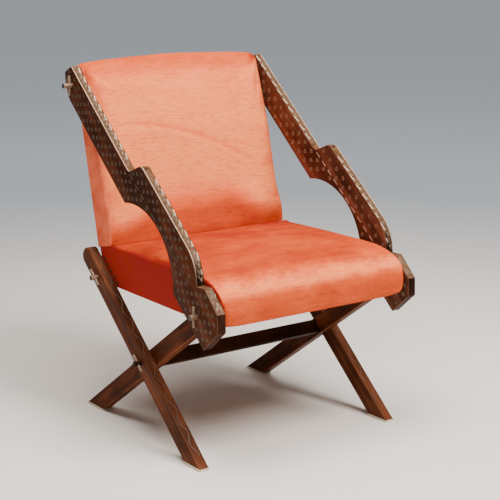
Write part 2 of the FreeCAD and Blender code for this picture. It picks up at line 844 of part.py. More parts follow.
# Dome nails on the seat's sides, in a line beside each front-footed leg.
NAIL_FIRST = 30.0
for word, side in SIDES:
    nails = []
    for count in range(5):
        nail = doc.addObject("Part::Sphere", "nail_%s_%d" % (word, count))
        bind(nail, Radius="nail_radius")
        nail.setExpression("Angle1", bound("asin(1 - nail_height / nail_radius)"))
        along = "front_leg_pin + %g - %d * nail_pitch" % (NAIL_FIRST, count)
        across = "leg_width / 2 + nail_edge_gap"
        place(
            nail,
            "%d * (half_inner - seat_side_clear - nail_radius + nail_height)" % side,
            "front_foot_y + (%s) * cos(front_leg_angle) - (%s) * sin(front_leg_angle)" % (along, across),
            "(%s) * sin(front_leg_angle) + (%s) * cos(front_leg_angle)" % (along, across),
            "%d" % (90 * side),
            Vector(0, 1, 0),
        )
        nails.append(nail)
    group("seat_nails_" + word, nails)

doc.recompute()

NODES = ["stretcher", "seat_front_rail", "seat_rear_rail", "seat_corner_blocks"]
NODES += ["seat_webbing_long", "seat_webbing_cross", "seat_pad"]
NODES += ["back_top_rail", "back_bottom_rail", "back_webbing", "back_pad", "back_panel"]
for word, side in SIDES:
    NODES += ["arm_" + word, "front_leg_" + word, "rear_leg_" + word]
    NODES += ["foot_pad_front_" + word, "foot_pad_rear_" + word]
    NODES += ["seat_side_rail_" + word, "back_stile_" + word, "seat_nails_" + word]
    NODES += ["pin_back_" + word, "pin_front_" + word, "pin_rear_" + word]
    NODES += ["peg_back_" + word, "peg_front_" + word, "peg_rear_" + word, "peg_cross_" + word]

for obj in doc.Objects:
    if "Invalid" in obj.State or "Error" in obj.State:
        raise RuntimeError("%s did not build: %s" % (obj.Name, obj.State))
os.makedirs("parts", exist_ok=True)
for name in NODES:
    solid = doc.getObject(name).Shape
    if solid.isNull() or not solid.isValid():
        raise RuntimeError("%s has no valid shape" % name)
    solid.exportStep(os.path.join("parts", name + ".step"))
print(len(NODES), "nodes written")
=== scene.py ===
# %% Load the fixed frame
import math

import bmesh
import bpy
import numpy as np
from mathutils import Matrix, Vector

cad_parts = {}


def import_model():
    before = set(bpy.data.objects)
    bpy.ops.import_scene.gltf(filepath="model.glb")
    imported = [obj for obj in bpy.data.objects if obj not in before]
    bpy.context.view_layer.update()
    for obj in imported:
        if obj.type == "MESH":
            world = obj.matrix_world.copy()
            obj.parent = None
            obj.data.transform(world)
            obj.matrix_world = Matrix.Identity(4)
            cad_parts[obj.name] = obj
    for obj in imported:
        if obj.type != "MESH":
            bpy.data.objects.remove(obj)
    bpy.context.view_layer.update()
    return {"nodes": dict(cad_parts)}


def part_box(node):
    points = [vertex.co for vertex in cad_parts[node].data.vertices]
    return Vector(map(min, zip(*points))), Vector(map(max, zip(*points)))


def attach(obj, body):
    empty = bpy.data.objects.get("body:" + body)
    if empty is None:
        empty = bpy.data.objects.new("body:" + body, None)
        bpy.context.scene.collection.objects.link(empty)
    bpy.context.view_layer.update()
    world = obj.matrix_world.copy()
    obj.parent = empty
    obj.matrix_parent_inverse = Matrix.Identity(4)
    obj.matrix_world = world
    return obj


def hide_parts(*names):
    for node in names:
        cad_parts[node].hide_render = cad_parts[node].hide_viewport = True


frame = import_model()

nodes = frame["nodes"]
SIDES = (("left", 1.0), ("right", -1.0))

# %% [markdown]
# The chair is a frame of flat boards held by round pins, with a padded seat and back between them.
# All boards, pins and pegs come from the construction model and never move from their places.
# This script dresses them: rounded edges, stained wood, pale inlay, velvet. Lengths are metres.

# %% Main sizes of the chair, read from the frame or set once
MM = 0.001
HALF_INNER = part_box("arm_left")[0].x
ARM_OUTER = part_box("arm_left")[1].x
LEG_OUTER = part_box("front_leg_left")[1].x
FRONT_PIN = np.array([-249.0, 363.0]) * MM
REAR_PIN = np.array([191.0, 363.0]) * MM
BACK_PIN = np.array([296.7, 825.7]) * MM
FRONT_FOOT = np.array([-231.0, 0.0]) * MM
REAR_FOOT = np.array([267.0, 0.0]) * MM
ARM_TURN = math.atan2(*(BACK_PIN - FRONT_PIN)[::-1])
ARM_SPAN = float(np.hypot(*(BACK_PIN - FRONT_PIN)))
FRONT_LEG_TURN = math.atan2(*(REAR_PIN - FRONT_FOOT)[::-1])
REAR_LEG_TURN = math.atan2(*(FRONT_PIN - REAR_FOOT)[::-1])
BACK_LEAN = math.atan2(*(BACK_PIN - REAR_PIN))
print("arm rakes %.1f deg, back leans %.1f deg" % (math.degrees(ARM_TURN), math.degrees(BACK_LEAN)))


# %% [markdown]
# Every surface here is a grid of points worked out with numpy and handed to Blender in one go.
# A grid that closes on itself makes a tube or a ring, and a flat lid closes an open end.

# %% Mesh helpers
def mesh_piece(name, points, faces, material, smooth=True):
    """A new object from an array of points and lists of faces, shaded smooth or flat."""
    mesh = bpy.data.meshes.new(name)
    mesh.from_pydata(np.asarray(points).tolist(), [], [list(map(int, f)) for f in faces])
    mesh.update()
    mesh.polygons.foreach_set("use_smooth", np.full(len(mesh.polygons), smooth))
    piece = bpy.data.objects.new(name, mesh)
    bpy.context.scene.collection.objects.link(piece)
    if material:
        mesh.materials.append(material)
    return piece


def grid_faces(rows, columns, close_rows=False, close_columns=False):
    """Four-sided faces over a grid of rows by columns, wrapping round where asked."""
    i = np.arange(rows if close_rows else rows - 1)
    j = np.arange(columns if close_columns else columns - 1)
    a, b = np.meshgrid(i, j, indexing="ij")
    c, d = (a + 1) % rows, (b + 1) % columns
    return np.stack([a * columns + b, c * columns + b, c * columns + d, a * columns + d], -1).reshape(-1, 4)


def mesh_points(mesh):
    """A mesh's points as an array of rows."""
    flat = np.empty(len(mesh.vertices) * 3, np.float32)
    mesh.vertices.foreach_get("co", flat)
    return flat.reshape(-1, 3).astype(float)


def set_mesh_points(mesh, points):
    """Put an array of rows back as a mesh's points."""
    mesh.vertices.foreach_set("co", points.astype(np.float32).ravel())
    mesh.update()


def clean_mesh(mesh, merge=0.0):
    """Join points closer than a length, where one is given, and turn all faces outward."""
    work = bmesh.new()
    work.from_mesh(mesh)
    if merge:
        bmesh.ops.remove_doubles(work, verts=work.verts, dist=merge)
    bmesh.ops.recalc_face_normals(work, faces=work.faces)
    work.to_mesh(mesh)
    work.free()


def world(local, origin, turn):
    """Points given along and across a board's axis, turned into the Y and Z of the chair."""
    along, across = local[..., 0], local[..., 1]
    y = origin[0] + along * math.cos(turn) - across * math.sin(turn)
    z = origin[1] + along * math.sin(turn) + across * math.cos(turn)
    return np.stack([y, z], -1)


def board_local(flat, origin, turn):
    """The way back: points in the chair's Y and Z as along and across a board's axis."""
    y, z = flat[..., 0] - origin[0], flat[..., 1] - origin[1]
    along = y * math.cos(turn) + z * math.sin(turn)
    across = -y * math.sin(turn) + z * math.cos(turn)
    return np.stack([along, across], -1)


# %% [markdown]
# Materials are procedural. Wood needs grain that runs along each board, so its noise is stretched
# along the board's own axis. Velvet needs a nap: a soft sheen at glancing angles, and long faint
# streaks where the pile lies in different directions.

# %% Material helpers
def new_material(name, color, roughness):
    """A material with one Principled shader, and its links ready for colour and bump."""
    material = bpy.data.materials.new(name)
    material.use_nodes = True
    shader = material.node_tree.nodes["Principled BSDF"]
    shader.inputs["Base Color"].default_value = (*color, 1.0)
    shader.inputs["Roughness"].default_value = roughness
    return material, material.node_tree, shader


def add(tree, kind, **settings):
    """A shader node with its settings and input values."""
    node = tree.nodes.new(kind)
    for key, value in settings.items():
        if key in node.inputs:
            node.inputs[key].default_value = value
        else:
            setattr(node, key, value)
    return node


def feed(tree, value, socket):
    """Set a socket to a number, or link another node's value to it."""
    if isinstance(value, float):
        socket.default_value = value
    else:
        tree.links.new(value, socket)


def object_points(tree, scale, turn=0.0):
    """Object coordinates, turned about X and then stretched."""
    source = add(tree, "ShaderNodeTexCoord")
    spin = add(tree, "ShaderNodeMapping", Rotation=(-turn, 0.0, 0.0))
    stretch = add(tree, "ShaderNodeMapping", Scale=scale)
    tree.links.new(source.outputs["Object"], spin.inputs["Vector"])
    tree.links.new(spin.outputs["Vector"], stretch.inputs["Vector"])
    return stretch.outputs["Vector"]


def noise(tree, stretch, detail=4.0, rough=0.55, turn=0.0):
    """A noise pattern's value on a piece's own coordinates, turned about X and then stretched."""
    node = add(tree, "ShaderNodeTexNoise", Scale=1.0, Detail=detail, Roughness=rough)
    tree.links.new(object_points(tree, stretch, turn), node.inputs["Vector"])
    return node.outputs["Fac"]


def ramp(tree, value, stops):
    """Colours along a value, from a list of (place, colour)."""
    node = tree.nodes.new("ShaderNodeValToRGB")
    while len(node.color_ramp.elements) < len(stops):
        node.color_ramp.elements.new(0.5)
    for element, (place, color) in zip(node.color_ramp.elements, stops):
        element.position = place
        element.color = (*color, 1.0)
    tree.links.new(value, node.inputs["Fac"])
    return node.outputs["Color"]


def mix(tree, factor, first, second, blend="MIX"):
    """Two colours mixed by a value."""
    node = add(tree, "ShaderNodeMix", data_type="RGBA", blend_type=blend)
    feed(tree, factor, node.inputs[0])
    tree.links.new(first, node.inputs[6])
    tree.links.new(second, node.inputs[7])
    return node.outputs[2]


def bump(tree, shader, value, strength, distance):
    """Fine relief from a value."""
    node = add(tree, "ShaderNodeBump", Strength=strength, Distance=distance)
    tree.links.new(value, node.inputs["Height"])
    tree.links.new(node.outputs["Normal"], shader.inputs["Normal"])


# %% [markdown]
# The finishes below use two small helpers again and again. One says how far a surface looks along an
# axis, which finds worn edges, end grain and undersides. The other does a sum on node values.

# %% Helpers for facing and sums
def facing(tree, axis):
    """How far a surface looks along a world axis, from -1 to 1."""
    source = add(tree, "ShaderNodeNewGeometry")
    split = add(tree, "ShaderNodeSeparateXYZ")
    tree.links.new(source.outputs["True Normal"], split.inputs["Vector"])
    return split.outputs[axis]


def reckon(tree, operation, *values, clamp=False):
    """The result of one sum on numbers or on other nodes' values."""
    node = add(tree, "ShaderNodeMath", operation=operation, use_clamp=clamp)
    for socket, value in zip(node.inputs, values):
        feed(tree, value, socket)
    return node.outputs[0]


# %% [markdown]
# The boards are a dark stained hardwood. Use has rubbed their edges pale. On the arms, the inner faces are
# painted paler, as light thrown back from the velvet, and the narrow faces that look forward or down get
# painted shade. A picture of wood could be wrapped round each board, but noise stretched along the board's
# own axis gives grain that never repeats and turns with the board.

# %% Stained wood
EDGE_LIFT = 5.0
WOOD_SHINE = 0.045


def arris(tree):
    """1 on a board's eased edges and 0 on its flat faces: the square of the facing's X share less the
    square of that, raised quickly, because only an edge between two faces has some of both."""
    share = facing(tree, "X")
    square = reckon(tree, "MULTIPLY", share, share)
    both = reckon(tree, "MULTIPLY_ADD", square, reckon(tree, "MULTIPLY", square, -1.0), square)
    return reckon(tree, "MULTIPLY", both, EDGE_LIFT, clamp=True)


def painted_bounce_light(tree, color, inward):
    """A colour paled on the face that looks inward: painted light thrown back from the velvet."""
    aim = reckon(tree, "MULTIPLY", facing(tree, "X"), inward, clamp=True)
    pale = ramp(tree, aim, [(0.3, (1.0, 1.0, 1.0)), (0.95, (1.30, 1.85, 2.8))])
    return mix(tree, 1.0, color, pale, "MULTIPLY")


def painted_narrow_shade(tree, color):
    """A board's colour with painted shade on its narrow faces where they look forward or down."""
    low = ramp(tree, facing(tree, "Z"), [(0.10, (0.34, 0.40, 0.52)), (0.55, (1.0, 1.0, 1.0))])
    share = reckon(tree, "ABSOLUTE", facing(tree, "X"))
    narrow = ramp(tree, share, [(0.3, (1.0, 1.0, 1.0)), (0.6, (0.0, 0.0, 0.0))])
    return mix(tree, narrow, color, mix(tree, 1.0, color, low, "MULTIPLY"))


def stained_wood(
    name,
    turn,
    stretch=(45.0, 3.5, 45.0),
    dark=(0.046, 0.0135, 0.0055),
    warm=(0.235, 0.060, 0.019),
    inward=0.0,
):
    """Dark stained hardwood: grain streaks along the board, broad reddish clouds and rubbed edges."""
    material, tree, shader = new_material(name, dark, 0.46)
    grain = noise(tree, stretch, 8.0, 0.62, turn)
    cloud = noise(tree, (9.0, 9.0, 9.0), 3.0, 0.5)
    between = tuple(0.55 * d + 0.30 * w for d, w in zip(dark, warm))
    streaks = ramp(tree, grain, [(0.32, dark), (0.52, between), (0.74, warm)])
    patch = ramp(tree, cloud, [(0.35, (0.55, 0.50, 0.48)), (0.65, (1.25, 1.15, 1.1))])
    body = mix(tree, 1.0, streaks, patch, "MULTIPLY")
    # On the arms: painted light thrown back from the velvet on the inner face, and painted shade on the
    # narrow faces that look forward or down.
    if inward:
        body = painted_narrow_shade(tree, painted_bounce_light(tree, body, inward))
    rubbed = ramp(tree, cloud, [(0.35, tuple(1.3 * w for w in warm)), (0.65, (0.34, 0.19, 0.105))])
    tree.links.new(mix(tree, arris(tree), body, rubbed), shader.inputs["Base Color"])
    shader.inputs["Specular IOR Level"].default_value = WOOD_SHINE
    bump(tree, shader, grain, 0.25, 0.0006)
    return material


ARM_DARK, ARM_WARM = (0.036, 0.0112, 0.0050), (0.19, 0.052, 0.019)
LEG_DARK, LEG_WARM = (0.063, 0.0222, 0.0112), (0.295, 0.090, 0.036)
RAIL_DARK, RAIL_WARM = (0.024, 0.0085, 0.0050), (0.085, 0.029, 0.014)
arm_wood = {}
for word, side in SIDES:
    arm_wood[word] = stained_wood("arm_wood_" + word, ARM_TURN, dark=ARM_DARK, warm=ARM_WARM, inward=-side)
front_leg_wood = stained_wood("front_leg_wood", FRONT_LEG_TURN, dark=LEG_DARK, warm=LEG_WARM)
rear_leg_wood = stained_wood("rear_leg_wood", REAR_LEG_TURN)
stretcher_wood = stained_wood("stretcher_wood", 0.0, (3.5, 45.0, 45.0), RAIL_DARK, RAIL_WARM)
print("stained woods:", len(bpy.data.materials))


# %% [markdown]
# The inlay is old bone, painted paler on the inner faces as light thrown back from the velvet, and darker
# on the outer faces as shade. The arms' top edges, the pegs and the hidden frame are lighter timber. Each is
# a two-tone mottle or grain; on the arm's top edge, painted shade darkens the colour as the surface turns
# from facing up to facing forward.

# %% Light timber, bone and nails
BONE_SHINE = 0.18


def painted_turn_shade(tree, color):
    """A colour darkened by painted shade where a surface turns from facing up to facing forward or down."""
    turn_shade = ramp(tree, facing(tree, "Z"), [(0.12, (0.20, 0.17, 0.15)), (0.64, (1.0, 1.0, 1.0))])
    return mix(tree, 1.0, color, turn_shade, "MULTIPLY")


def plain_wood(name, pale, deep, scale, roughness, held=False, shine=0.5):
    """A light timber with a gentle grain; with held set, painted shade where it turns forward or down."""
    material, tree, shader = new_material(name, pale, roughness)
    grain = noise(tree, scale, 6.0, 0.6)
    color = ramp(tree, grain, [(0.3, deep), (0.7, pale)])
    tree.links.new(painted_turn_shade(tree, color) if held else color, shader.inputs["Base Color"])
    shader.inputs["Specular IOR Level"].default_value = shine
    bump(tree, shader, grain, 0.2, 0.0004)
    return material


def bone(name, pale, deep, roughness, held=False):
    """Old bone or shell inlay: pale, slightly mottled, with a soft polish; with held set, painted shade where
    it turns down.
    """
    material, tree, shader = new_material(name, pale, roughness)
    mottle = noise(tree, (90.0, 90.0, 90.0), 4.0, 0.6)
    color = ramp(tree, mottle, [(0.3, deep), (0.68, pale)])
    tree.links.new(painted_turn_shade(tree, color) if held else color, shader.inputs["Base Color"])
    shader.inputs["Specular IOR Level"].default_value = BONE_SHINE
    return material


FINE, LONG, SHORT = (110.0, 110.0, 110.0), (30.0, 6.0, 30.0), (90.0, 90.0, 90.0)
edge_wood = plain_wood("edge_wood", (0.205, 0.094, 0.044), (0.055, 0.021, 0.010), FINE, 0.42, True, 0.14)
frame_wood = plain_wood("frame_wood", (0.46, 0.31, 0.18), (0.33, 0.20, 0.11), LONG, 0.7)
peg_wood = plain_wood("peg_wood", (0.33, 0.21, 0.13), (0.20, 0.11, 0.062), SHORT, 0.25)
# Outer-face marks use the darkest bone as painted shade; the inner faces' rings and dashes use paler bone as
# painted light thrown back from the velvet.
mark_bone = bone("mark_bone", (0.140, 0.092, 0.055), (0.050, 0.029, 0.017), 0.46)
inner_bone = bone("inner_bone", (0.235, 0.162, 0.100), (0.080, 0.047, 0.027), 0.42)
line_bone = bone("line_bone", (0.58, 0.46, 0.34), (0.33, 0.23, 0.155), 0.38)
edge_bone = bone("edge_bone", (0.74, 0.58, 0.43), (0.42, 0.285, 0.19), 0.38, True)
grey_bone = bone("grey_bone", (0.30, 0.215, 0.138), (0.10, 0.062, 0.036), 0.42, True)
wave_bone = bone("wave_bone", (0.150, 0.104, 0.070), (0.058, 0.036, 0.023), 0.46)
nail_metal, _, nail_shader = new_material("nail_metal", (0.105, 0.052, 0.026), 0.42)
nail_shader.inputs["Metallic"].default_value = 1.0
print("woods, bones and metal:", len(bpy.data.materials))


# %% [markdown]
# The pins are turned, with darker end grain. The pads are cream felt, and the webbing under the seat is
# jute. End grain is found from the way a face looks, felt is fine noise with a sheen, and a plain weave
# is two crossed waves.

# %% Pins, felt and webbing finishes
END_GRAIN = 0.8


def pin_finish():
    """Turned wood, dark on the end grain: the end faces point along X."""
    material, tree, shader = new_material("pin_wood", (0.30, 0.17, 0.09), 0.38)
    grain = noise(tree, (5.0, 160.0, 160.0), 5.0)
    side = ramp(tree, grain, [(0.3, (0.135, 0.068, 0.038)), (0.7, (0.28, 0.165, 0.10))])
    end = ramp(tree, grain, [(0.3, (0.012, 0.007, 0.005)), (0.7, (0.045, 0.024, 0.015))])
    flat = reckon(tree, "GREATER_THAN", reckon(tree, "ABSOLUTE", facing(tree, "X")), END_GRAIN)
    tree.links.new(mix(tree, flat, side, end), shader.inputs["Base Color"])
    return material


def felt_finish():
    """Cream felt with a short fuzzy nap."""
    material, tree, shader = new_material("felt", (0.66, 0.60, 0.50), 0.95)
    fuzz = noise(tree, (900.0, 900.0, 900.0), 3.0)
    cream = ramp(tree, fuzz, [(0.3, (0.50, 0.41, 0.27)), (0.7, (0.72, 0.63, 0.46))])
    tree.links.new(cream, shader.inputs["Base Color"])
    shader.inputs["Sheen Weight"].default_value = 0.4
    bump(tree, shader, fuzz, 0.5, 0.0005)
    return material


def webbing_finish():
    """Jute webbing: a plain weave drawn by two crossed waves."""
    material, tree, shader = new_material("webbing", (0.42, 0.31, 0.18), 0.9)
    points = object_points(tree, (1.0, 1.0, 1.0))
    waves = []
    for direction in ("X", "Y"):
        wave = add(tree, "ShaderNodeTexWave", bands_direction=direction, Scale=120.0, Distortion=0.6)
        tree.links.new(points, wave.inputs["Vector"])
        waves.append(wave.outputs["Color"])
    weave = mix(tree, 0.5, waves[0], waves[1])
    jute = ramp(tree, weave, [(0.2, (0.24, 0.16, 0.085)), (0.8, (0.50, 0.38, 0.23))])
    tree.links.new(jute, shader.inputs["Base Color"])
    bump(tree, shader, weave, 0.5, 0.0006)
    return material


pin_wood = pin_finish()
felt = felt_finish()
webbing = webbing_finish()
print("with pins, felt and webbing:", len(bpy.data.materials))


# %% [markdown]
# Velvet looks light or dark by the way its pile lies, so a sheen alone can't show where it was sat on or
# brushed. Each cushion stores two values at its points: its pile tone, which also carries painted highlights
# and painted shade, and a painted shade hue that makes faces in shade rosier. The finish reads both and
# breaks them up with clouds, bands and short streaks.

# %% Velvet finish
CLOUD_SHARE, BAND_SHARE, NOISE_REST = 0.42, 0.22, 0.22
# Tones from the deep red of painted shade up to the peach of painted highlights.
VELVET_TONES = [
    (0.0, (0.345, 0.0108, 0.0105)),
    (0.08, (0.345, 0.0145, 0.0040)),
    (0.17, (0.42, 0.032, 0.0048)),
    (0.40, (0.67, 0.088, 0.0165)),
    (0.70, (0.88, 0.160, 0.048)),
    (1.0, (0.975, 0.234, 0.066)),
]
STREAK_TONES = [
    (0.30, (0.73, 0.54, 0.45)),
    (0.43, (0.96, 0.93, 0.91)),
    (0.52, (1.0, 1.0, 1.0)),
    (0.70, (1.08, 1.24, 1.30)),
]
# Painted shade hue: faces in shade turn rosier.
SHADE_HUE_TONES = [(0.0, (1.0, 1.0, 1.0)), (1.0, (1.06, 0.88, 1.9))]


def velvet_finish():
    """Coral velvet: the stored pile tone, with its painted highlights and shade, plus shares of cloud and
    band noise sets the tone from deep red to peach; the painted shade hue and streaks multiply it, and a thin
    peach sheen covers it."""
    material, tree, shader = new_material("velvet", (0.80, 0.10, 0.02), 0.75)
    streak = noise(tree, (40.0, 400.0, 400.0), 4.0, 0.6)
    band = noise(tree, (5.0, 46.0, 46.0), 4.0, 0.55)
    cloud = noise(tree, (9.0, 11.0, 11.0), 4.0, 0.6)
    nap = add(tree, "ShaderNodeAttribute", attribute_name="nap").outputs["Fac"]
    blush = add(tree, "ShaderNodeAttribute", attribute_name="blush").outputs["Fac"]
    tone = reckon(tree, "MULTIPLY_ADD", cloud, CLOUD_SHARE, nap)
    tone = reckon(tree, "MULTIPLY_ADD", band, BAND_SHARE, tone)
    tone = reckon(tree, "SUBTRACT", tone, NOISE_REST)
    base = mix(tree, 1.0, ramp(tree, tone, VELVET_TONES), ramp(tree, blush, SHADE_HUE_TONES), "MULTIPLY")
    lines = ramp(tree, streak, STREAK_TONES)
    tree.links.new(mix(tree, 1.0, base, lines, "MULTIPLY"), shader.inputs["Base Color"])
    shader.inputs["Sheen Weight"].default_value = 0.10
    shader.inputs["Sheen Roughness"].default_value = 0.45
    shader.inputs["Sheen Tint"].default_value = (1.0, 0.40, 0.12, 1.0)
    shader.inputs["Specular IOR Level"].default_value = 0.10
    pile = noise(tree, (700.0, 1500.0, 1500.0), 2.0)
    bump(tree, shader, mix(tree, 0.35, streak, pile), 0.22, 0.0007)
    return material


velvet = velvet_finish()
print("materials:", len(bpy.data.materials))


# %% [markdown]
# Each arm's outline is the line its maker sawed: straight runs joined by arcs. The same line is
# needed again for the pale bands on its edge and to keep the inlay marks inside the board.

# %% The arm's outline along and across its axis
ARM_TOP = np.array(
    [
        [ARM_SPAN / MM + 32.7, 32.0],
        [401.0, 32.0],
        [373.0, 86.0],
        [87.0, 90.0],
        [45.0, 51.0],
        [21.4, 72.5],
        [-48.5, 68.2],
        [-77.1, 36.8],
    ]
) * MM
SAWN_ROUND = np.array([0.0, 10.0, 9.0, 97.0, 0.0, 0.0, 0.0, 0.0]) * MM
WORN_ROUND = np.array([0.0, 15.0, 20.0, 97.0, 0.0, 0.0, 0.0, 0.0]) * MM
ARM_UNDER = np.array(
    [
        [-66.5, -38.0],
        [ARM_SPAN / MM - 12.0, -38.0],
        [ARM_SPAN / MM + 23.7, -22.8],
        [ARM_SPAN / MM + 46.1, 0.0],
    ]
) * MM
ARCH_CENTRE = np.array([230.0, -147.7]) * MM
ARCH_RADIUS = 175.0 * MM
NEAR = 0.2 * MM


def corner_frame(before, corner, after):
    """Unit directions from a corner back and ahead along its edges, and half the angle between them."""
    back = (before - corner) / np.linalg.norm(before - corner)
    ahead = (after - corner) / np.linalg.norm(after - corner)
    return back, ahead, 0.5 * math.acos(float(np.clip(back @ ahead, -1, 1)))


def arc_middle(corner, back, ahead, half, radius):
    """The centre of the arc that touches both edges of a corner."""
    return corner + (back + ahead) / np.linalg.norm(back + ahead) * radius / math.sin(half)


def eased_line(corners, rounds, steps=14):
    """Points along straight runs whose corners are replaced by arcs of the given radii."""
    line = [corners[0]]
    for before, corner, after, radius in zip(corners[:-2], corners[1:-1], corners[2:], rounds[1:-1]):
        back, ahead, half = corner_frame(before, corner, after)
        if radius <= 0:
            line.append(corner)
            continue
        run = radius / math.tan(half)
        middle = arc_middle(corner, back, ahead, half, radius)
        start, end = corner + back * run - middle, corner + ahead * run - middle
        sweep = np.linspace(0, 1, steps)[:, None]
        chord = start * (1 - sweep) + end * sweep
        line.extend(middle + chord / np.linalg.norm(chord, axis=1)[:, None] * radius)
    line.append(corners[-1])
    return np.array(line)


def worn_step(points):
    """Points of an arm with its two step corners rubbed rounder: a point on a sawn arc keeps its direction
    from the arc's centre and moves to the wider arc that touches the same two edges."""
    local = board_local(points[:, 1:], FRONT_PIN, ARM_TURN)
    for place in (1, 2):
        corner, sawn, worn = ARM_TOP[place], SAWN_ROUND[place], WORN_ROUND[place]
        back, ahead, half = corner_frame(ARM_TOP[place - 1], corner, ARM_TOP[place + 1])
        away = local - arc_middle(corner, back, ahead, half, sawn)
        far = np.linalg.norm(away, axis=1)
        on_arc = np.abs(far - sawn) < NEAR
        on_arc &= np.linalg.norm(local - corner, axis=1) < sawn / math.tan(half) + NEAR
        local[on_arc] = arc_middle(corner, back, ahead, half, worn) + away[on_arc] / far[on_arc, None] * worn
        print("points rubbed rounder at a step corner:", int(on_arc.sum()))
    flat = world(local, FRONT_PIN, ARM_TURN)
    return np.concatenate([points[:, :1], flat], -1)


ARM_EDGE = np.vstack([eased_line(ARM_TOP, WORN_ROUND), ARM_UNDER[:1]])
ARM_RING = np.vstack([ARM_EDGE, ARM_UNDER[1:]])
print("arm edge line: %.0f mm long" % (np.linalg.norm(np.diff(ARM_EDGE, axis=0), axis=1).sum() / MM))


# %% [markdown]
# The boards of the model have knife-sharp edges. A worn hand-made chair doesn't, so each board is
# copied, its loose triangles are joined, and a small bevel rounds every edge. The copy takes the board's
# place, and the board is hidden. The arms' step corners are also rubbed rounder than they were sawn.

# %% Rounded copies of the boards
ARM_EASE, LEG_EASE, STRETCHER_EASE = 1.1 * MM, 2.5 * MM, 1.2 * MM


def rounded_board(node, material, width):
    """A copy of a board with joined faces, its edges eased by a bevel."""
    mesh = nodes[node].data.copy()
    work = bmesh.new()
    work.from_mesh(mesh)
    bmesh.ops.remove_doubles(work, verts=work.verts, dist=0.01 * MM)
    bmesh.ops.dissolve_limit(work, angle_limit=math.radians(0.5), verts=work.verts, edges=work.edges)
    work.to_mesh(mesh)
    work.free()
    if node.startswith("arm_"):
        set_mesh_points(mesh, worn_step(mesh_points(mesh)))
    mesh.materials.clear()
    mesh.materials.append(material)
    mesh.polygons.foreach_set("use_smooth", np.ones(len(mesh.polygons), bool))
    piece = bpy.data.objects.new(node + "_board", mesh)
    bpy.context.scene.collection.objects.link(piece)
    ease = piece.modifiers.new("ease", "BEVEL")
    ease.width = width
    ease.segments = 3
    ease.limit_method = "ANGLE"
    ease.angle_limit = math.radians(35)
    ease.harden_normals = True
    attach(piece, "chair")
    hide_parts(node)
    print("rounded board:", piece.name, len(mesh.polygons), "faces before easing")


for word, _ in SIDES:
    rounded_board("arm_" + word, arm_wood[word], ARM_EASE)
    rounded_board("front_leg_" + word, front_leg_wood, LEG_EASE)
    rounded_board("rear_leg_" + word, rear_leg_wood, LEG_EASE)
rounded_board("stretcher", stretcher_wood, STRETCHER_EASE)

# %% [markdown]
# Pins, pegs, nails and the hidden frame already have the right form. They keep their solids and only get
# a finish, chosen by the first words of their names.

# %% Finishes for pieces that keep their solid form
PLAIN = {
    "pin_": pin_wood,
    "back_stile": stretcher_wood,
    "peg_": peg_wood,
    "foot_pad": felt,
    "seat_nails": nail_metal,
    "seat_webbing": webbing,
    "back_webbing": webbing,
    "seat_": frame_wood,
    "back_": frame_wood,
}
for name, node in nodes.items():
    finish = next((m for start, m in PLAIN.items() if name.startswith(start)), frame_wood)
    node.data.materials.clear()
    node.data.materials.append(finish)
print("solids with a finish:", len(nodes))

# %% [markdown]
# Under each foot is a pad of thick felt, cut by hand a little larger than the foot. Its outline is a
# softened rectangle with a slight wobble, and its rim bulges.

# %% Felt foot pads
def felt_pad(name, low, high, over, seed):
    """A pad: rings of a softened, wobbling rectangle, from the floor up over a bulging rim, with lids."""
    around = np.linspace(0, 2 * math.pi, 72, endpoint=False)
    soft = (np.abs(np.cos(around)) ** 7 + np.abs(np.sin(around)) ** 7) ** (-1 / 7)
    wobble = 1 + 0.015 * np.sin(5 * around + seed) + 0.012 * np.sin(9 * around + 2.1 * seed)
    middle, half = (low + high) / 2, (high - low) / 2
    rise = np.array([0.0, 0.12, 0.4, 0.7, 0.92, 1.0])
    reach = np.array([-0.6, -0.1, 0.35, 0.3, -0.15, -0.7]) * MM + over
    x = middle[0] + (half[0] + reach[:, None]) * (soft * wobble * np.cos(around))
    y = middle[1] + (half[1] + reach[:, None]) * (soft * wobble * np.sin(around))
    z = np.broadcast_to((low[2] + rise * (high[2] - low[2]))[:, None], x.shape)
    faces = [list(f) for f in grid_faces(len(rise), len(around), False, True)[:, ::-1]]
    top = (len(rise) - 1) * len(around)
    faces += [list(range(len(around)))[::-1], list(range(top, top + len(around)))]
    return mesh_piece(name, np.stack([x, y, z], -1).reshape(-1, 3), faces, felt)


PAD_OVER = 2.4 * MM
for count, word in enumerate(("front_left", "front_right", "rear_left", "rear_right")):
    low, high = (np.array(corner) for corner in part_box("foot_pad_" + word))
    pad = felt_pad("felt_" + word, low, high, PAD_OVER, 1.0 + count)
    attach(pad, "chair")
    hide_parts("foot_pad_" + word)
    print(pad.name, len(pad.data.polygons), "faces")

# %% [markdown]
# The inlay was let into the board by hand, so no mark crosses the board's edge. Two tests on the flat
# outline keep each mark inside: one counts how often a line from the point crosses the edge, and one
# measures how far away the edge is.

# %% Tests on flat outlines
def inside(ring, points):
    """Which points lie inside a closed ring, by counting crossings of its edges."""
    a, b = ring, np.roll(ring, -1, axis=0)
    x, y = points[:, 0:1], points[:, 1:2]
    spans = (a[:, 1] > y) != (b[:, 1] > y)
    slope = (b[:, 0] - a[:, 0]) / np.where(b[:, 1] == a[:, 1], 1e-12, b[:, 1] - a[:, 1])
    return (spans & (x < a[:, 0] + (y - a[:, 1]) * slope)).sum(1) % 2 == 1


def edge_distance(ring, points):
    """The shortest distance from each point to the ring's edges."""
    a, b = ring, np.roll(ring, -1, axis=0)
    run = b - a
    share = ((points[:, None, :] - a) * run).sum(-1) / np.maximum((run**2).sum(-1), 1e-15)
    near = a + np.clip(share, 0, 1)[..., None] * run
    return np.linalg.norm(points[:, None, :] - near, axis=-1).min(1)


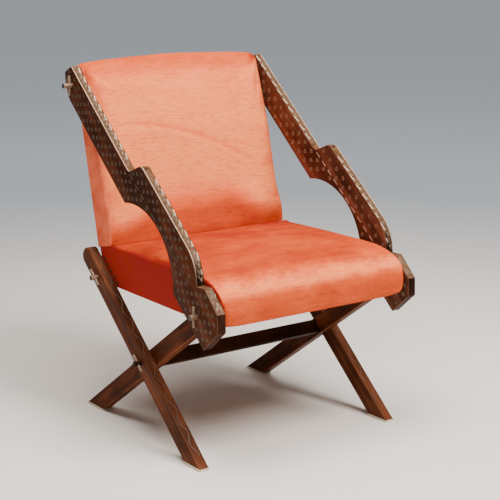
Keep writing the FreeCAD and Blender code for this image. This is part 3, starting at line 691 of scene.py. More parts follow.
# %% [markdown]
# The broad faces of both arms carry a field of small bone rings on a square grid that stands level
# with the floor, so it runs slantwise over the raking board. Each ring is a short closed tube of
# square section with a slightly three-cornered outline. One function makes all rings of a face in
# one mesh.

# %% Ring marks on the arms
MARK_GRIDS = {
    "outer": (np.array([[-18.2, 1.6], [-4.8, -19.3]]) * MM, 4.7 * MM),
    "inner": (np.array([[-26.0, 3.6], [0.0, -23.4]]) * MM, 5.6 * MM),
}
INLAY_PROUD = 0.25 * MM
DASH_LINE = 34.0 * MM
DASHED_FROM, DASHED_TO = 60 * MM, 392 * MM
PIN_ROOM = 9 * MM
ARM_FACES = []
for word, side in SIDES:
    ARM_FACES += [(word, "outer", side * ARM_OUTER, side), (word, "inner", side * HALF_INNER, -side)]


def mark_centres(steps, radius):
    """Grid points well inside the arm, clear of its pins, of the arch and of the dashed line."""
    reach = np.arange(-60, 61)
    counts = np.stack(np.meshgrid(reach, reach, indexing="ij"), -1).reshape(-1, 2)
    away = counts @ steps + [300 * MM, 280 * MM]
    local = board_local(away, (0.0, 0.0), ARM_TURN)
    clear = radius + 2.5 * MM
    keep = inside(ARM_RING, local) & (edge_distance(ARM_RING, local) > clear)
    keep &= np.linalg.norm(local - ARCH_CENTRE, axis=1) > ARCH_RADIUS + clear
    keep &= np.linalg.norm(local, axis=1) > PIN_ROOM + radius
    keep &= np.linalg.norm(local - [ARM_SPAN, 0], axis=1) > PIN_ROOM + radius
    in_dashes = (local[:, 0] > DASHED_FROM) & (local[:, 0] < DASHED_TO)
    keep &= ~(in_dashes & (np.abs(local[:, 1] - DASH_LINE) < radius + 2 * MM))
    return away[keep] + FRONT_PIN


def ring_marks(name, centres, size, face_x, outward, material):
    """All rings of one face: section corners (radius, height) swept round each centre."""
    count = 12
    turn = np.arange(count) * 2 * math.pi / count
    shape = 1 + 0.11 * np.cos(3 * (turn - math.pi / 2))
    hole = 0.40 * size
    section = np.array([[size, -INLAY_PROUD], [size, INLAY_PROUD], [hole, INLAY_PROUD], [hole, -INLAY_PROUD]])
    radius = section[:, 0][:, None] * shape[None, :]
    y = centres[:, 0][:, None, None] + radius * np.cos(turn)
    z = centres[:, 1][:, None, None] + radius * np.sin(turn)
    x = np.broadcast_to(face_x + outward * section[:, 1][:, None], y.shape)
    points = np.stack([x, y, z], -1).reshape(-1, 3)
    ring = grid_faces(4, count, True, True)
    ring = ring if outward > 0 else ring[:, ::-1]
    shift = np.arange(len(centres))[:, None, None] * 4 * count
    return mesh_piece(name, points, (ring[None] + shift).reshape(-1, 4), material, smooth=False)


for word, face, x, outward in ARM_FACES:
    steps, size = MARK_GRIDS[face]
    spots = mark_centres(steps, size)
    # Painted shade on the outer faces, painted light thrown back from the velvet on the inner faces.
    finish = mark_bone if face == "outer" else inner_bone
    piece = ring_marks("inlay_rings_%s_%s" % (face, word), spots, size, x, outward, finish)
    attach(piece, "chair")
    print("ring marks on the %s face of the %s arm: %d" % (face, word, len(spots)))


# %% [markdown]
# Rows of slim pointed slivers, white bone, run down each arm: on its faces below the step, and along
# its top edge. A sliver is a stretched four-pointed plate.

# %% Slivers of bone
def slivers(name, middle, along, across, normal, long, wide, material):
    """Pointed plates: six corners round each middle, raised by the inlay's height along its normal."""
    outline = np.array([[-0.5, 0.0], [-0.28, -0.5], [0.28, -0.5], [0.5, 0.0], [0.28, 0.5], [-0.28, 0.5]])
    flat = (
        middle[:, None, :]
        + outline[None, :, 0:1] * long * along[:, None, :]
        + outline[None, :, 1:2] * wide * across[:, None, :]
    )
    points = np.stack([flat - normal[:, None, :] * INLAY_PROUD, flat + normal[:, None, :] * INLAY_PROUD], 1)
    walls = grid_faces(2, 6, False, True)
    lids = [[5, 4, 3, 2, 1, 0], [6, 7, 8, 9, 10, 11]]
    flip = float(np.einsum("ij,ij->i", np.cross(along, across), normal)[0]) < 0
    faces = [list(f) for f in walls[:, ::-1]] + lids
    faces = [f[::-1] for f in faces] if flip else faces
    every = [[c + 12 * k for c in f] for k in range(len(middle)) for f in faces]
    return mesh_piece(name, points.reshape(-1, 3), every, material, smooth=False)


def arm_point(local, x):
    """Points on an arm: the board's own along and across, at a place across the chair."""
    flat = world(local, FRONT_PIN, ARM_TURN)
    beside = np.broadcast_to(np.asarray(x, float)[..., None], flat.shape[:-1] + (1,))
    return np.concatenate([beside, flat], -1)


ALONG = np.array([0.0, math.cos(ARM_TURN), math.sin(ARM_TURN)])
ACROSS = np.array([0.0, -math.sin(ARM_TURN), math.cos(ARM_TURN)])
DASHES = np.arange(384.0, 70.0, -31.0) * MM
DASH_LONG, DASH_WIDE = 22 * MM, 3.2 * MM
DASH_SPOTS = np.stack([DASHES, np.full_like(DASHES, DASH_LINE)], -1)
many = np.ones((len(DASHES), 1))
for word, face, x, outward in ARM_FACES:
    spots = arm_point(DASH_SPOTS, np.full(len(DASHES), x))
    ways = (many * ALONG, many * ACROSS, many * np.array([outward, 0.0, 0.0]))
    # Painted shade on the outer faces, painted light thrown back from the velvet on the inner faces.
    finish = mark_bone if face == "outer" else line_bone
    piece = slivers("inlay_dashes_%s_%s" % (face, word), spots, *ways, DASH_LONG, DASH_WIDE, finish)
    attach(piece, "chair")
print("dashes on each face:", len(DASHES))


# %% [markdown]
# The narrow top edge of each arm is lighter, with a bone line along its outer border, a row of
# white slivers near its inner border and greyish slivers between. The band is a thin strip carried
# along the arm's edge line.

# %% Edge bands on the arms
EDGE_PROUD = 0.2 * MM
LINE_PROUD = 1.6 * EDGE_PROUD
SLIVER_STEP = 31.5 * MM
HALF_STEP = SLIVER_STEP / 2
STRAIGHT_ENOUGH = 0.97


def headings(line):
    """Unit directions along a line's points, and the outward normal at each."""
    ahead = np.gradient(line, axis=0)
    ahead /= np.linalg.norm(ahead, axis=1)[:, None]
    return ahead, np.stack([ahead[:, 1], -ahead[:, 0]], -1)


def along_line(line, step):
    """Points at even steps along a line, with the unit direction and outward normal at each."""
    run = np.linalg.norm(np.diff(line, axis=0), axis=1)
    place = np.concatenate([[0], np.cumsum(run)])
    at = np.arange(step / 2, place[-1], step)
    spots = np.stack([np.interp(at, place, line[:, k]) for k in (0, 1)], -1)
    return spots, *headings(spots)


def carried_strip(name, rows, material):
    """A thin strip: four lines of points, its section's corners, joined round and closed at both ends."""
    count = len(rows[0])
    last = 4 * (count - 1)
    faces = [list(f) for f in grid_faces(count, 4, False, True)]
    faces += [[0, 1, 2, 3], [last + 3, last + 2, last + 1, last]]
    piece = mesh_piece(name, np.stack(rows, 1).reshape(-1, 3), faces, material, smooth=False)
    clean_mesh(piece.data)
    return piece


def edge_strip(name, line, x_low, x_high, proud, material):
    """A strip on the arm's edge: a flat section from x_low to x_high carried along the line."""
    _, out = headings(line)
    section = [(x_low, -proud), (x_low, proud), (x_high, proud), (x_high, -proud)]
    rows = [arm_point(line + out * lift, np.full(len(line), x)) for x, lift in section]
    return carried_strip(name, rows, material)


def edge_slivers(name, line, x, start, long, wide, slant, material):
    """Slivers along the arm's edge at one place across its thickness, each turned by a slant."""
    spots, heading, out = along_line(line, SLIVER_STEP)
    turns = np.abs(np.einsum("ij,ij->i", heading[1:], heading[:-1]))
    keep = np.r_[True, turns > STRAIGHT_ENOUGH]
    spots, heading, out = spots[keep] + heading[keep] * start, heading[keep], out[keep]
    middle = arm_point(spots + out * EDGE_PROUD, np.full(len(spots), x))
    flat = np.zeros(len(spots))
    forward = arm_point(heading, flat) - arm_point(0 * heading, flat)
    normal = arm_point(out, flat) - arm_point(0 * out, flat)
    sideways = np.broadcast_to(np.array([1.0, 0.0, 0.0]), middle.shape)
    along = math.cos(slant) * forward + math.sin(slant) * sideways
    across = math.cos(slant) * sideways - math.sin(slant) * forward
    return slivers(name, middle, along, across, normal, long, wide, material)


# %% [markdown]
# The band's pattern is made of five rows down the raking edge and three short rows on the nose. Each row
# is one line of a table: where it lies across the edge, how far it is shifted, the size of its slivers
# and how much they slant. The two arms mirror each other.

# %% Lay the bands
BAND_EDGE = ARM_EDGE[:-2]
NOSE_CORNERS = 3
RAKING_EDGE = BAND_EDGE[: 1 - NOSE_CORNERS]
SLIVER_EDGE = BAND_EDGE[:-NOSE_CORNERS]
NOSE_EDGE = BAND_EDGE[-NOSE_CORNERS:]
NOSE_TOP = NOSE_EDGE[1:]
SLANT = math.radians(24)
SLIVER_ROWS = (
    ("edge_white_", SLIVER_EDGE, 0.18, 0.0, 25.0, 3.1, 0.3, edge_bone),
    ("edge_grey_", SLIVER_EDGE, 0.42, 0.3, 13.0, 3.2, 1.0, grey_bone),
    ("edge_pale_", SLIVER_EDGE, 0.42, 1.3, 13.0, 3.2, 1.0, grey_bone),
    ("edge_tan_", SLIVER_EDGE, 0.64, 0.0, 12.0, 2.8, -1.0, mark_bone),
    ("edge_brown_", SLIVER_EDGE, 0.64, 1.0, 12.0, 2.8, -1.0, mark_bone),
    ("edge_nose_", NOSE_TOP, 0.42, 0.0, 20.0, 5.0, 0.5, grey_bone),
    ("edge_nose_inner_", NOSE_TOP, 0.18, 0.4, 17.0, 3.0, 1.0, grey_bone),
    ("edge_nose_outer_", NOSE_TOP, 0.64, 0.4, 17.0, 3.0, 1.0, grey_bone),
)
for word, side in SIDES:
    inner, thick = side * HALF_INNER, side * (ARM_OUTER - HALF_INNER)
    low, high = inner + 0.06 * thick, inner + 0.94 * thick
    line_low, line_high = inner + 0.865 * thick, inner + 0.945 * thick
    pieces = [
        edge_strip("edge_band_" + word, BAND_EDGE, low, high, EDGE_PROUD, edge_wood),
        edge_strip("edge_line_" + word, RAKING_EDGE, line_low, line_high, LINE_PROUD, edge_bone),
        edge_strip("edge_nose_line_" + word, NOSE_EDGE, line_low, line_high, LINE_PROUD, mark_bone),
    ]
    for name, line, place, start, long, wide, lean, finish in SLIVER_ROWS:
        x, slant = inner + place * thick, lean * side * SLANT
        row = (name + word, line, x, start * HALF_STEP, long * MM, wide * MM, slant, finish)
        pieces.append(edge_slivers(*row))
    for piece in pieces:
        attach(piece, "chair")
    print("strips and rows of slivers on the %s arm: %d" % (word, len(pieces)))


# %% [markdown]
# The narrow front face of each front-footed leg has one long wavy line. It is a thin strip whose
# middle swings from side to side as a sine wave along the leg.

# %% Wavy lines on the legs
WAVE_LENGTH = 64.0 * MM
WAVE_SWING = 5.2 * MM
WAVE_WIDTH = 1.8 * MM
WAVE_FROM, WAVE_TO = 16 * MM, 634 * MM
LEG_FRONT = 22.0 * MM


def wave_strip(name, side, material):
    """A strip whose middle is a sine wave in X, along the leg's front face."""
    along = np.linspace(WAVE_FROM, WAVE_TO, 440)
    middle = side * (HALF_INNER + LEG_OUTER) / 2
    swing = middle + WAVE_SWING * np.sin(2 * math.pi * along / WAVE_LENGTH)
    lean = WAVE_SWING * 2 * math.pi / WAVE_LENGTH * np.cos(2 * math.pi * along / WAVE_LENGTH)
    wide = 0.5 * WAVE_WIDTH * np.sqrt(1 + lean**2)
    rows = []
    for hand, lift in ((-1, -INLAY_PROUD), (-1, INLAY_PROUD), (1, INLAY_PROUD), (1, -INLAY_PROUD)):
        local = np.stack([along, np.full_like(along, LEG_FRONT + lift)], -1)
        flat = world(local, FRONT_FOOT, FRONT_LEG_TURN)
        rows.append(np.concatenate([(swing + hand * wide)[:, None], flat], -1))
    return carried_strip(name, rows, material)


for word, side in SIDES:
    wave = wave_strip("leg_wave_" + word, side, wave_bone)
    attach(wave, "chair")
    print(wave.name, len(wave.data.polygons), "faces")

# %% [markdown]
# Seat and back are stuffed and covered in one tight skin of velvet. Each starts as a rounded block a
# little smaller than the finished cushion, with its crown already drawn. Blender's cloth solver then
# swells it by pressure while its tacked edges stay put, which gives the skin its natural tension.
# Last, the room for the wooden frame is cut out of it.

# %% Rounded block
def rounded_block(low, high, radius, pitch):
    """Points over a box's six faces, drawn in so that every edge is an arc: the nearest point of the
    inner box, plus the radius along the direction away from it."""
    low, high = np.array(low), np.array(high)
    count = np.maximum(2, np.round((high - low) / pitch).astype(int))
    points, faces, start = [], [], 0
    for axis in range(3):
        b, c = (axis + 1) % 3, (axis + 2) % 3
        for end in (0, 1):
            one, other = np.linspace(0, 1, count[b] + 1), np.linspace(0, 1, count[c] + 1)
            u, v = np.meshgrid(one, other, indexing="ij")
            face = np.zeros(u.shape + (3,))
            face[..., axis] = (low, high)[end][axis]
            face[..., b] = low[b] + u * (high - low)[b]
            face[..., c] = low[c] + v * (high - low)[c]
            quads = grid_faces(*u.shape) + start
            faces.append(quads if end else quads[:, ::-1])
            points.append(face.reshape(-1, 3))
            start += u.size
    points = np.vstack(points)
    core = np.clip(points, low + radius, high - radius)
    away = points - core
    length = np.maximum(np.linalg.norm(away, axis=1)[:, None], 1e-9)
    return core + away / length * radius, np.vstack(faces)


# %% [markdown]
# The maker below could also inflate by moving points along their normals, but cloth keeps its area: it
# pulls flat between its tacks and rounds where it is free, as a tight cover does. A cap on its movement
# and a limit on its place keep the cushion between the boards.

# %% Cushion maker
CLOTH_FRAMES = 20
PITCH, VOXEL = 8 * MM, 6 * MM
JOIN = 0.2 * MM


def swollen(name, points, faces, held, pressure, cap, limit):
    """A cushion: rebuilt in even squares, swelled by cloth pressure with held points pinned, its
    movement capped, kept within limits, and smoothed by one subdivision."""
    piece = mesh_piece(name, points, faces, velvet)
    clean_mesh(piece.data, JOIN)
    bpy.context.view_layer.objects.active = piece
    remesh = piece.modifiers.new("even", "REMESH")
    remesh.mode = "VOXEL"
    remesh.voxel_size = VOXEL
    bpy.ops.object.modifier_apply(modifier="even")
    before = mesh_points(piece.data)
    after = before.copy()
    after = simulate(piece, held(before), pressure)
    move = after - before
    far = np.linalg.norm(move, axis=1)[:, None]
    move *= np.minimum(1.0, cap / np.maximum(far, 1e-9))
    set_mesh_points(piece.data, limit(before + move))
    smooth = piece.modifiers.new("fine", "SUBSURF")
    smooth.levels = 1
    smooth.render_levels = 1
    bpy.ops.object.modifier_apply(modifier="fine")
    piece.data.polygons.foreach_set("use_smooth", np.ones(len(piece.data.polygons), bool))
    piece.data.update()
    print("%s: %d points, moved up to %.1f mm" % (name, len(piece.data.vertices), far.max() / MM))
    return piece


def simulate(piece, pinned, pressure):
    """Frames of cloth under inner pressure, without gravity; the points where it ends."""
    group = piece.vertex_groups.new(name="tacked")
    group.add(np.flatnonzero(pinned).tolist(), 1.0, "REPLACE")
    cloth = piece.modifiers.new("cloth", "CLOTH")
    cloth.settings.vertex_group_mass = "tacked"
    cloth.settings.use_pressure = True
    cloth.settings.uniform_pressure_force = pressure
    cloth.settings.effector_weights.gravity = 0.0
    cloth.settings.tension_stiffness = 40.0
    cloth.settings.compression_stiffness = 40.0
    cloth.settings.bending_stiffness = 2.0
    cloth.settings.quality = 6
    for count in range(1, CLOTH_FRAMES + 1):
        bpy.context.scene.frame_set(count)
    state = piece.evaluated_get(bpy.context.evaluated_depsgraph_get())
    after = mesh_points(state.data)
    piece.modifiers.remove(cloth)
    piece.vertex_groups.remove(group)
    bpy.context.scene.frame_set(1)
    return after


def carve(piece, rooms):
    """Cut box-shaped rooms, given as lowest and highest corners in a leaning frame, out of a piece."""
    for count, (low, high, to_world) in enumerate(rooms):
        points, faces = rounded_block(low, high, 1e-6, 10.0)
        name = "%s_room_%d" % (piece.name, count)
        cutter = mesh_piece(name, to_world(points), faces, velvet, smooth=False)
        clean_mesh(cutter.data, JOIN)
        cut = piece.modifiers.new("room", "BOOLEAN")
        cut.operation = "DIFFERENCE"
        cut.solver = "EXACT"
        cut.object = cutter
        bpy.context.view_layer.objects.active = piece
        bpy.ops.object.modifier_apply(modifier="room")
        bpy.data.objects.remove(cutter)


# %% [markdown]
# The pile's tone, with its painted highlights and painted shade, is worked out once for each point of a
# cushion and stored there. Smooth steps mark its zones, and a sum of bent sine waves gives the lumps where
# the pile was crushed.

# %% Nap helpers
def step(value, low, high):
    """A smooth rise from 0 at low to 1 at high."""
    share = np.clip((value - low) / (high - low), 0, 1)
    return share * share * (3 - 2 * share)


def bell(value, width):
    """1 where a value is 0, falling smoothly to nothing over about twice the width."""
    return np.exp(-((value / width) ** 2))


def set_nap_and_light(piece, rule):
    """Store pile tone with painted light and shade, 0 dark to 1 bright, and painted shade hue, 0 orange to 1
    rosy.
    """
    normals = np.empty(len(piece.data.vertices) * 3, np.float32)
    piece.data.vertices.foreach_get("normal", normals)
    values = rule(mesh_points(piece.data), normals.reshape(-1, 3).astype(float))
    for name, value in zip(("nap", "blush"), values):
        store = piece.data.attributes.new(name, "FLOAT", "POINT")
        store.data.foreach_set("value", value.astype(np.float32))
    print("%s: nap %.2f to %.2f" % (piece.name, values[0].min(), values[0].max()))


def crush(points, size):
    """Lumps of crushed pile, 0 to 1: three sine waves with different headings, each bent by another."""
    p = points / size
    first = np.sin(p @ [1.0, 0.7, 0.4] + 1.7 * np.sin(p @ [-0.4, 1.1, 0.8]))
    second = np.sin(p @ [0.6, -0.9, 1.2] + 1.3 * np.sin(p @ [1.3, 0.2, -0.7]) + 2.0)
    third = np.sin(2.1 * (p @ [-0.8, 0.5, 1.0]) + first + 0.5)
    return 0.5 + 0.5 * np.clip(0.50 * first + 0.40 * second + 0.30 * third, -1, 1)


# %% [markdown]
# The seat is a thick pad that drops over its rails. Its front top edge is a long soft roll, its top is
# crowned, and it dips towards the back, where the back cushion presses on it.

# %% Seat cushion
SEAT_HALF = HALF_INNER - 0.7 * MM
SEAT_FRONT, SEAT_REAR = -315.0 * MM, 211.9 * MM
SEAT_FOOT = 344.5 * MM
SEAT_TALL = 118.0 * MM
BACK_FOOT = 72.0 * MM
TUCK = 10.5 * MM
UNDER_BACK = 163 * MM
STILE_FRONT = 16.4 * MM


def back_world(points):
    """From the back's own across, ahead and up to the chair's X, Y and Z."""
    x, ahead, up = points.T
    y = REAR_PIN[0] - ahead * math.cos(BACK_LEAN) + up * math.sin(BACK_LEAN)
    z = REAR_PIN[1] + ahead * math.sin(BACK_LEAN) + up * math.cos(BACK_LEAN)
    return np.stack([x, y, z], -1)


def back_underside(y):
    """The height of the back cushion's underside above the floor at a place along Y."""
    return REAR_PIN[1] + BACK_FOOT / math.cos(BACK_LEAN) - (y - REAR_PIN[0]) * math.tan(BACK_LEAN)


def seat_height(x, y):
    """The seat's top: a long front roll, a level middle with a low crown, and a slope under the back."""
    roll = np.clip((-200 * MM - y) / (120 * MM), 0, 1)
    level = np.interp(y / MM, [-200, -60, 60, 120, 163], [452, 451, 448, 445.5, 442.6]) * MM
    level = level + 4 * MM * step(y, 130 * MM, UNDER_BACK)
    drop = 60 * MM * (1 - np.sqrt(1 - 0.985 * roll**2))
    top = np.where(y > UNDER_BACK, back_underside(y) + 4 * MM, level) - drop
    crown = 5 * MM * np.clip(1 - (x / SEAT_HALF) ** 2, 0, 1) * np.clip((150 * MM - y) / (120 * MM), 0, 1)
    wobble = 0.8 * MM * np.sin(x / (47 * MM) + 1.3) * np.sin(y / (61 * MM))
    return top + crown + wobble * np.clip((140 * MM - y) / (60 * MM), 0, 1)


def seat_form():
    """A rounded block, deeper than needed below and behind, whose columns stretch to the seat's top."""
    low = [-SEAT_HALF - 3 * MM, SEAT_FRONT, SEAT_FOOT - TUCK]
    high = [SEAT_HALF + 3 * MM, SEAT_REAR + 2 * TUCK, SEAT_FOOT + SEAT_TALL]
    points, faces = rounded_block(low, high, 13 * MM, PITCH)
    square, _ = rounded_block(low, high, 1 * MM, PITCH)
    soft, _ = rounded_block(low, high, 18 * MM, PITCH)
    tight = step(points[:, 1:2], 120 * MM, 156 * MM)
    loose = step(-points[:, 1:2], 225 * MM, 275 * MM)
    points = points + tight * (square - points) + loose * (soft - points)
    x, y, z = points.T
    corner = step(np.abs(x), SEAT_HALF - 70 * MM, SEAT_HALF - 8 * MM) * step(-y, 265 * MM, 305 * MM)
    z = z + TUCK * corner * np.clip(1 - (z - SEAT_FOOT + TUCK) / (60 * MM), 0, 1)
    share = np.clip((z - SEAT_FOOT) / SEAT_TALL, 0, 1)
    stretched = SEAT_FOOT + share * (seat_height(x, y) - SEAT_FOOT)
    points[:, 2] = np.where(z > SEAT_FOOT, stretched, z)
    belly = np.sin(math.pi * np.clip((z - SEAT_FOOT) / SEAT_TALL, 0, 1))
    points[:, 1] -= 8 * MM * belly * np.clip((SEAT_FRONT + 60 * MM - y) / (60 * MM), 0, 1)
    return points, faces


def seat_limit(points):
    """Keep the seat between the side boards and under the back cushion."""
    points[:, 0] = np.clip(points[:, 0], -SEAT_HALF, SEAT_HALF)
    under = points[:, 1] > 157 * MM
    points[under, 2] = np.minimum(points[under, 2], back_underside(points[under, 1]) - 0.8 * MM)
    return points


def seat_held(points):
    """The seat is tacked along its foot and its rear, and sewn down its two front corners."""
    x, y, z = points.T
    corner = (np.abs(x) > SEAT_HALF - 22 * MM) & (y < -268 * MM)
    return (z < SEAT_FOOT + 10 * MM) | (y > 140 * MM) | corner


seat = swollen(
    "seat_cushion",
    *seat_form(),
    held=seat_held,
    pressure=4.0,
    cap=6 * MM,
    limit=seat_limit,
)

# %% [markdown]
# Inside the cover are rails, webbing and the ends of the back's stiles. The seat has to leave room for
# them, or the two would share the same space. Plain boxes a little larger than the wood are cut out of it,
# and those for the stiles lean with the back.

# %% Room for the frame in the seat
def as_is(points):
    """Points that are already in the chair's own X, Y and Z."""
    return points


RAIL_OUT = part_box("seat_side_rail_left")[1].x + 0.4 * MM
RAIL_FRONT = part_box("seat_front_rail")[0].y - 0.4 * MM
WEB_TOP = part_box("seat_webbing_cross")[1].z + 0.4 * MM
LEG_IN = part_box("rear_leg_left")[0].x - 0.8 * MM
STILE_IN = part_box("back_stile_left")[0].x - 0.4 * MM
STILE_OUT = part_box("back_stile_left")[1].x + 0.3 * MM
rooms = [
    ([-RAIL_OUT, RAIL_FRONT, 0.32], [RAIL_OUT, SEAT_REAR - 0.6 * MM, WEB_TOP], as_is),
    ([-0.3, SEAT_REAR, 0.3], [0.3, 0.3, 0.5], as_is),
    ([-0.3, -0.4, 0.3], [0.3, 0.3, SEAT_FOOT], as_is),
]
for word, side in SIDES:
    near, far = sorted((side * LEG_IN, side * 0.28))
    rooms.append(([near, -0.288, 0.32], [far, -0.160, 0.406], as_is))
    near, far = sorted((side * STILE_IN, side * STILE_OUT))
    rooms.append(([near, -0.08, -0.06], [far, STILE_FRONT, 0.12], back_world))
carve(seat, rooms)
print("rooms cut in the seat:", len(rooms))


# %% [markdown]
# On the seat, painted shade darkens the pile near the back and turns the sides crimson, and a painted
# highlight runs along a ragged band where the front roll turns over.

# %% Nap and painted light of the seat
def seat_nap_and_light(points, normals):
    """Painted shade deep near the back and on the sides, lighter forward, a painted highlight along a ragged
    band on the front roll, and mid on the front."""
    _, y, z = points.T
    lumps = crush(points, 26 * MM)
    ragged = crush(points * [1.0, 1.6, 1.6], 9 * MM)
    # A painted highlight along a ragged band where the front roll turns over.
    highlight_ridge = z - 423 * MM - 8 * MM * (lumps - 0.5) - 5 * MM * (ragged - 0.5)
    band = np.exp(-((highlight_ridge / np.where(highlight_ridge > 0, 15 * MM, 12 * MM)) ** 2)) * step(-y, 225 * MM, 275 * MM)
    front = step(-normals[:, 1], 0.5, 0.9)
    brushed = crush(points * [1.0, 0.45, 1.0], 34 * MM) - 0.5
    # Painted shade darkens the top towards the back, and brushed lumps vary it.
    level = 0.04 + 0.13 * step(-y, -170 * MM, 200 * MM) + 0.07 * brushed
    level = level + (0.27 - level) * front + 0.62 * band * (0.62 + 0.45 * lumps + 0.3 * ragged)
    # Painted shade: the sides turn deep crimson.
    side = step(np.abs(normals[:, 0]), 0.35, 0.8)
    return level * (1 - side) - 0.11 * side, 0 * side


set_nap_and_light(seat, seat_nap_and_light)
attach(seat, "chair")
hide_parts("seat_pad")
print("seat cushion:", len(seat.data.polygons), "faces")


# %% [markdown]
# The back is a thinner pad that leans with its stiles. Its front swells a little more low down, where
# it meets the sitter, and its top is a soft roll.

# %% Back cushion
BACK_HALF = HALF_INNER - 0.6 * MM
BACK_TOP = float(np.hypot(*(BACK_PIN - REAR_PIN))) + 50 * MM


def back_local(points):
    """From the chair's X, Y and Z to the back's own across, ahead and up."""
    x, y, z = points[:, 0], points[:, 1] - REAR_PIN[0], points[:, 2] - REAR_PIN[1]
    ahead = -y * math.cos(BACK_LEAN) + z * math.sin(BACK_LEAN)
    up = y * math.sin(BACK_LEAN) + z * math.cos(BACK_LEAN)
    return np.stack([x, ahead, up], -1)


FRONT_UP = np.array([60, 72, 90, 117, 150, 190, 340, 431, 500, 540]) * MM
FRONT_AHEAD = np.array([41, 43, 48, 51, 46, 41, 39, 31, 24, 22]) * MM
REAR_DEPTH = -26.0 * MM
ROLL_FROM = 497.0 * MM
CREASE_UP = 333.0 * MM


def back_fold(x, up):
    """How far a point lies below the long crease, which falls and bends to one side."""
    return CREASE_UP - 0.33 * x - 0.85 * x**2 - up


def back_form():
    """A rounded block whose front follows a curve from low swell to slim top, closed by a round roll."""
    low, high = [-BACK_HALF - 1 * MM, REAR_DEPTH, BACK_FOOT - TUCK], [BACK_HALF + 1 * MM, 40 * MM, BACK_TOP]
    points, faces = rounded_block(low, high, 9 * MM, PITCH)
    x, ahead, up = points.T
    share = (ahead - REAR_DEPTH) / (40 * MM - REAR_DEPTH)
    front = np.interp(up, FRONT_UP, FRONT_AHEAD)
    across = np.clip(1 - (x / BACK_HALF) ** 2, 0, 1)
    rise = np.clip((up - BACK_FOOT) / (BACK_TOP - BACK_FOOT), 0, 1)
    crown = 5 * MM * across**0.8 * np.sin(math.pi * rise) ** 0.7
    fold = back_fold(x, up)
    crease = -1.6 * MM * bell(fold, 7 * MM) + 1.0 * MM * bell(fold - 16 * MM, 10 * MM)
    crease = crease * np.exp(-((x / (190 * MM)) ** 4))
    wobble = 0.7 * MM * np.sin(x / (53 * MM) + 0.4) * np.sin(up / (67 * MM))
    face = front + crown + crease + wobble
    middle, half = 0.5 * (face + REAR_DEPTH), 0.5 * (face - REAR_DEPTH)
    over = np.clip((up - ROLL_FROM) / (BACK_TOP + 1 * MM - ROLL_FROM), 0, 1)
    half = half * np.sqrt(1 - 0.98 * over**2)
    points[:, 1] = middle + (2 * share - 1) * half
    points[:, 2] = up + 14 * MM * across**0.7 * np.clip((rise - 0.7) / 0.3, 0, 1) ** 1.5
    return back_world(points), faces


def back_limit(points):
    """Keep the back between the arms and off its own rear limit."""
    local = back_local(points)
    local[:, 0] = np.clip(local[:, 0], -BACK_HALF, BACK_HALF)
    local[:, 1] = np.maximum(local[:, 1], REAR_DEPTH - 3 * MM)
    return back_world(local)


def back_held(points):
    """The back is tacked along its sides, behind and at its foot."""
    local = back_local(points)
    return (local[:, 1] < 0) | (local[:, 2] < BACK_FOOT + 8 * MM)


back = swollen(
    "back_cushion",
    *back_form(),
    held=back_held,
    pressure=3.0,
    cap=4 * MM,
    limit=back_limit,
)
panel = back.copy()
panel.data = back.data.copy()
panel.name = "back_outside"
bpy.context.scene.collection.objects.link(panel)

# %% [markdown]
# A real back has a stuffed front and a plain outside panel, sewn together along the sides. Two copies of
# the same form are cut at that seam, so they meet exactly.

# %% Part the back into its front cushion and its outside panel
SEAM = -14.4 * MM
HEAD = BACK_TOP - 23 * MM
below = ([-0.3, -0.1, -0.1], [0.3, 0.2, BACK_FOOT], back_world)
frame_room = ([-STILE_OUT, -0.1, 0.02], [STILE_OUT, STILE_FRONT, HEAD], back_world)
carve(back, [([-0.3, -0.1, -0.1], [0.3, SEAM, 0.7], back_world), frame_room, below])
carve(panel, [([-0.3, SEAM - 0.4 * MM, -0.1], [0.3, 0.2, 0.7], back_world), below])
print("back parted at its seam, %.1f mm behind the pin line" % (-SEAM / MM))


# %% [markdown]
# The back's pile is bright over the front, a painted highlight, and darker at the top roll; painted shade
# darkens the hollow above the seat, the crease and the borders. Its flanks and its outside are crushed, and a
# painted shade hue makes them rosier.

# %% Nap and painted light of the back
def back_nap_and_light(points, normals):
    """A painted highlight over the front, darker at the top roll, painted shade in the hollow above the seat
    and along the crease; the sides are crushed into dark and light lumps, with a painted shade hue."""
    x, _, up = back_local(points).T
    side = step(np.abs(x), 90 * MM, 230 * MM)
    # Painted shade in the hollow above the seat and at the borders, a painted highlight above it.
    rise = step(up, (128 - 50 * side) * MM, (220 - 72 * side) * MM)
    edge = step(BACK_HALF - np.abs(x), 0 * MM, 26 * MM)
    top = 0.48 * step(up, 462 * MM, 530 * MM) + 0.14 * step(up, 385 * MM, 495 * MM)
    # Painted shade along the long crease, and a thin painted line of shade for a short upright crease.
    fold = back_fold(x, up)
    reach = np.exp(-((x / (215 * MM)) ** 6))
    crease = reach * (0.30 * bell(fold, 6 * MM) - 0.06 * bell(fold - 15 * MM, 8 * MM))
    beside = x - 155 * MM - 0.12 * (390 * MM - up)
    upright_crease_shade = 0.13 * bell(beside, 4 * MM) * step(up, 305 * MM, 345 * MM) * (1 - step(up, 430 * MM, 470 * MM))
    lumps = crush(points, 19 * MM)
    drawn = crush(points * [0.4, 1.0, 1.0], 15 * MM) - 0.5
    crushed = 0.30 * step(np.abs(x), 196 * MM, 250 * MM) * step(lumps, 0.35, 0.85) * rise
    level = 0.20 + 0.70 * rise * (0.78 + 0.22 * edge) - top - crease - upright_crease_shade - crushed + 0.08 * drawn
    # The outside panel and the flanks: crushed mid tones, made rosier by a painted shade hue.
    outside = normals[:, 1] > 0.3
    level = np.where(outside, 0.22 + 0.10 * (lumps - 0.5), level)
    flank = step(np.abs(normals[:, 0]), 0.4, 0.85)
    nap = level * (1 - flank) + (0.42 + 0.34 * lumps) * flank
    return nap, np.maximum(0.5 * flank, outside)


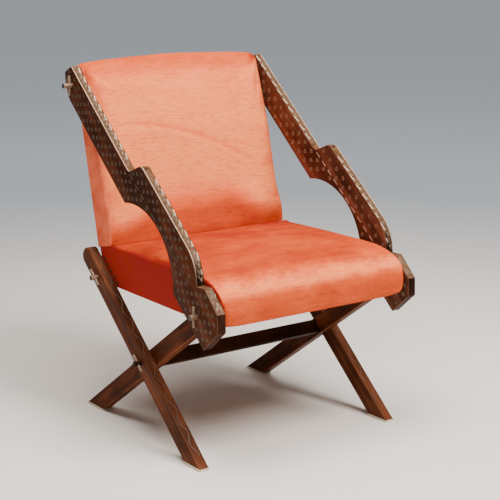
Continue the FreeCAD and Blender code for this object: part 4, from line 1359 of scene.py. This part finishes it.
for piece, node in ((back, "back_pad"), (panel, "back_panel")):
    set_nap_and_light(piece, back_nap_and_light)
    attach(piece, "chair")
    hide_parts(node)
    print(piece.name, len(piece.data.polygons), "faces")

# %% [markdown]
# The setting is a plain pale floor that turns a little greyer away from the chair, so the pale edges
# stand out. Far off it glows faintly, like a lit studio backdrop. Two broad lights hang above the
# chair, one over it and one in front.

# %% Floor
FLOOR_FLAT, FLOOR_REACH, FLOOR_RIM = 10.0, 20.0, 3.0
FLOOR_FADE = 4.0
FLOOR_TONES = [(0.30, (0.96, 0.875, 0.79)), (0.75, (0.50, 0.525, 0.555))]
FLOOR_GLOW = [(0.30, (0.0, 0.0, 0.0)), (0.55, (0.10, 0.106, 0.114)), (1.0, (0.245, 0.26, 0.28))]


def floor_dish():
    """Rings of points: level near the chair, then rising as the square of the distance to a low rim."""
    rings, turns = np.linspace(0.02, FLOOR_REACH, 81), np.linspace(0, 2 * math.pi, 96, False)
    out, around = np.meshgrid(rings, turns, indexing="ij")
    rise = FLOOR_RIM * np.clip((out - FLOOR_FLAT) / (FLOOR_REACH - FLOOR_FLAT), 0, 1) ** 2
    points = np.stack([out * np.cos(around), out * np.sin(around), rise], -1).reshape(-1, 3)
    faces = [list(f) for f in grid_faces(*out.shape, False, True)]
    return mesh_piece("floor", points, faces + [list(range(out.shape[1]))], None)


floor = floor_dish()
floor_paint, tree, shader = new_material("floor_paint", (0.62, 0.60, 0.58), 0.75)
distance = add(tree, "ShaderNodeVectorMath", operation="LENGTH")
tree.links.new(object_points(tree, (1.0, 1.0, 1.0)), distance.inputs[0])
reach = reckon(tree, "DIVIDE", distance.outputs["Value"], FLOOR_FADE)
tree.links.new(ramp(tree, reach, FLOOR_TONES), shader.inputs["Base Color"])
tree.links.new(ramp(tree, reach, FLOOR_GLOW), shader.inputs["Emission Color"])
shader.inputs["Emission Strength"].default_value = 1.0
floor.data.materials.append(floor_paint)
print("floor:", len(floor.data.polygons), "faces")

# %% [markdown]
# The photograph was lit softly from above and in front. Two large square lights do that, and a dim grey
# world fills the shadows. The camera's place and lens were worked out from corners of the chair whose
# places are known in the model and in the photograph.

# %% Light and camera
CHAIR_MIDDLE = (0.0, -0.0504, 0.4377)
CAMERA_PLACE = (-1.9266, -2.7387, 1.2132)
CAMERA_LENS = 100.4


def area_light(name, place, target, size, power, color):
    """A soft square light that looks at a point."""
    light = bpy.data.lights.new(name, "AREA")
    light.size = size
    light.energy = power
    light.color = color
    lamp = bpy.data.objects.new(name, light)
    lamp.location = place
    lamp.rotation_euler = (Vector(target) - Vector(place)).to_track_quat("-Z", "Y").to_euler()
    bpy.context.scene.collection.objects.link(lamp)


area_light("overhead", (-0.6, -0.2, 3.0), (0, 0, 0.4), 1.6, 95.0, (1.0, 0.98, 0.95))
area_light("front_key", (0.7, -2.2, 3.2), (0, 0, 0.5), 1.6, 190.0, (1.0, 0.98, 0.96))
sky = bpy.data.worlds.new("studio")
bpy.context.scene.world = sky
sky.use_nodes = True
background = sky.node_tree.nodes["Background"]
background.inputs["Color"].default_value = (0.56, 0.58, 0.60, 1.0)
background.inputs["Strength"].default_value = 0.21

lens = bpy.data.cameras.new("camera")
lens.lens = CAMERA_LENS
lens.sensor_width = 36.0
camera = bpy.data.objects.new("camera", lens)
camera.location = CAMERA_PLACE
aim = Vector(CHAIR_MIDDLE) - camera.location
camera.rotation_euler = aim.to_track_quat("-Z", "Y").to_euler()
bpy.context.scene.collection.objects.link(camera)
bpy.context.scene.camera = camera
print("camera %.2f m from the chair" % aim.length)

# %% [markdown]
# Last, the number of solids read from the frame is printed.

# %% Count of solids
print("sizes written for", len(nodes), "solids and the scene")
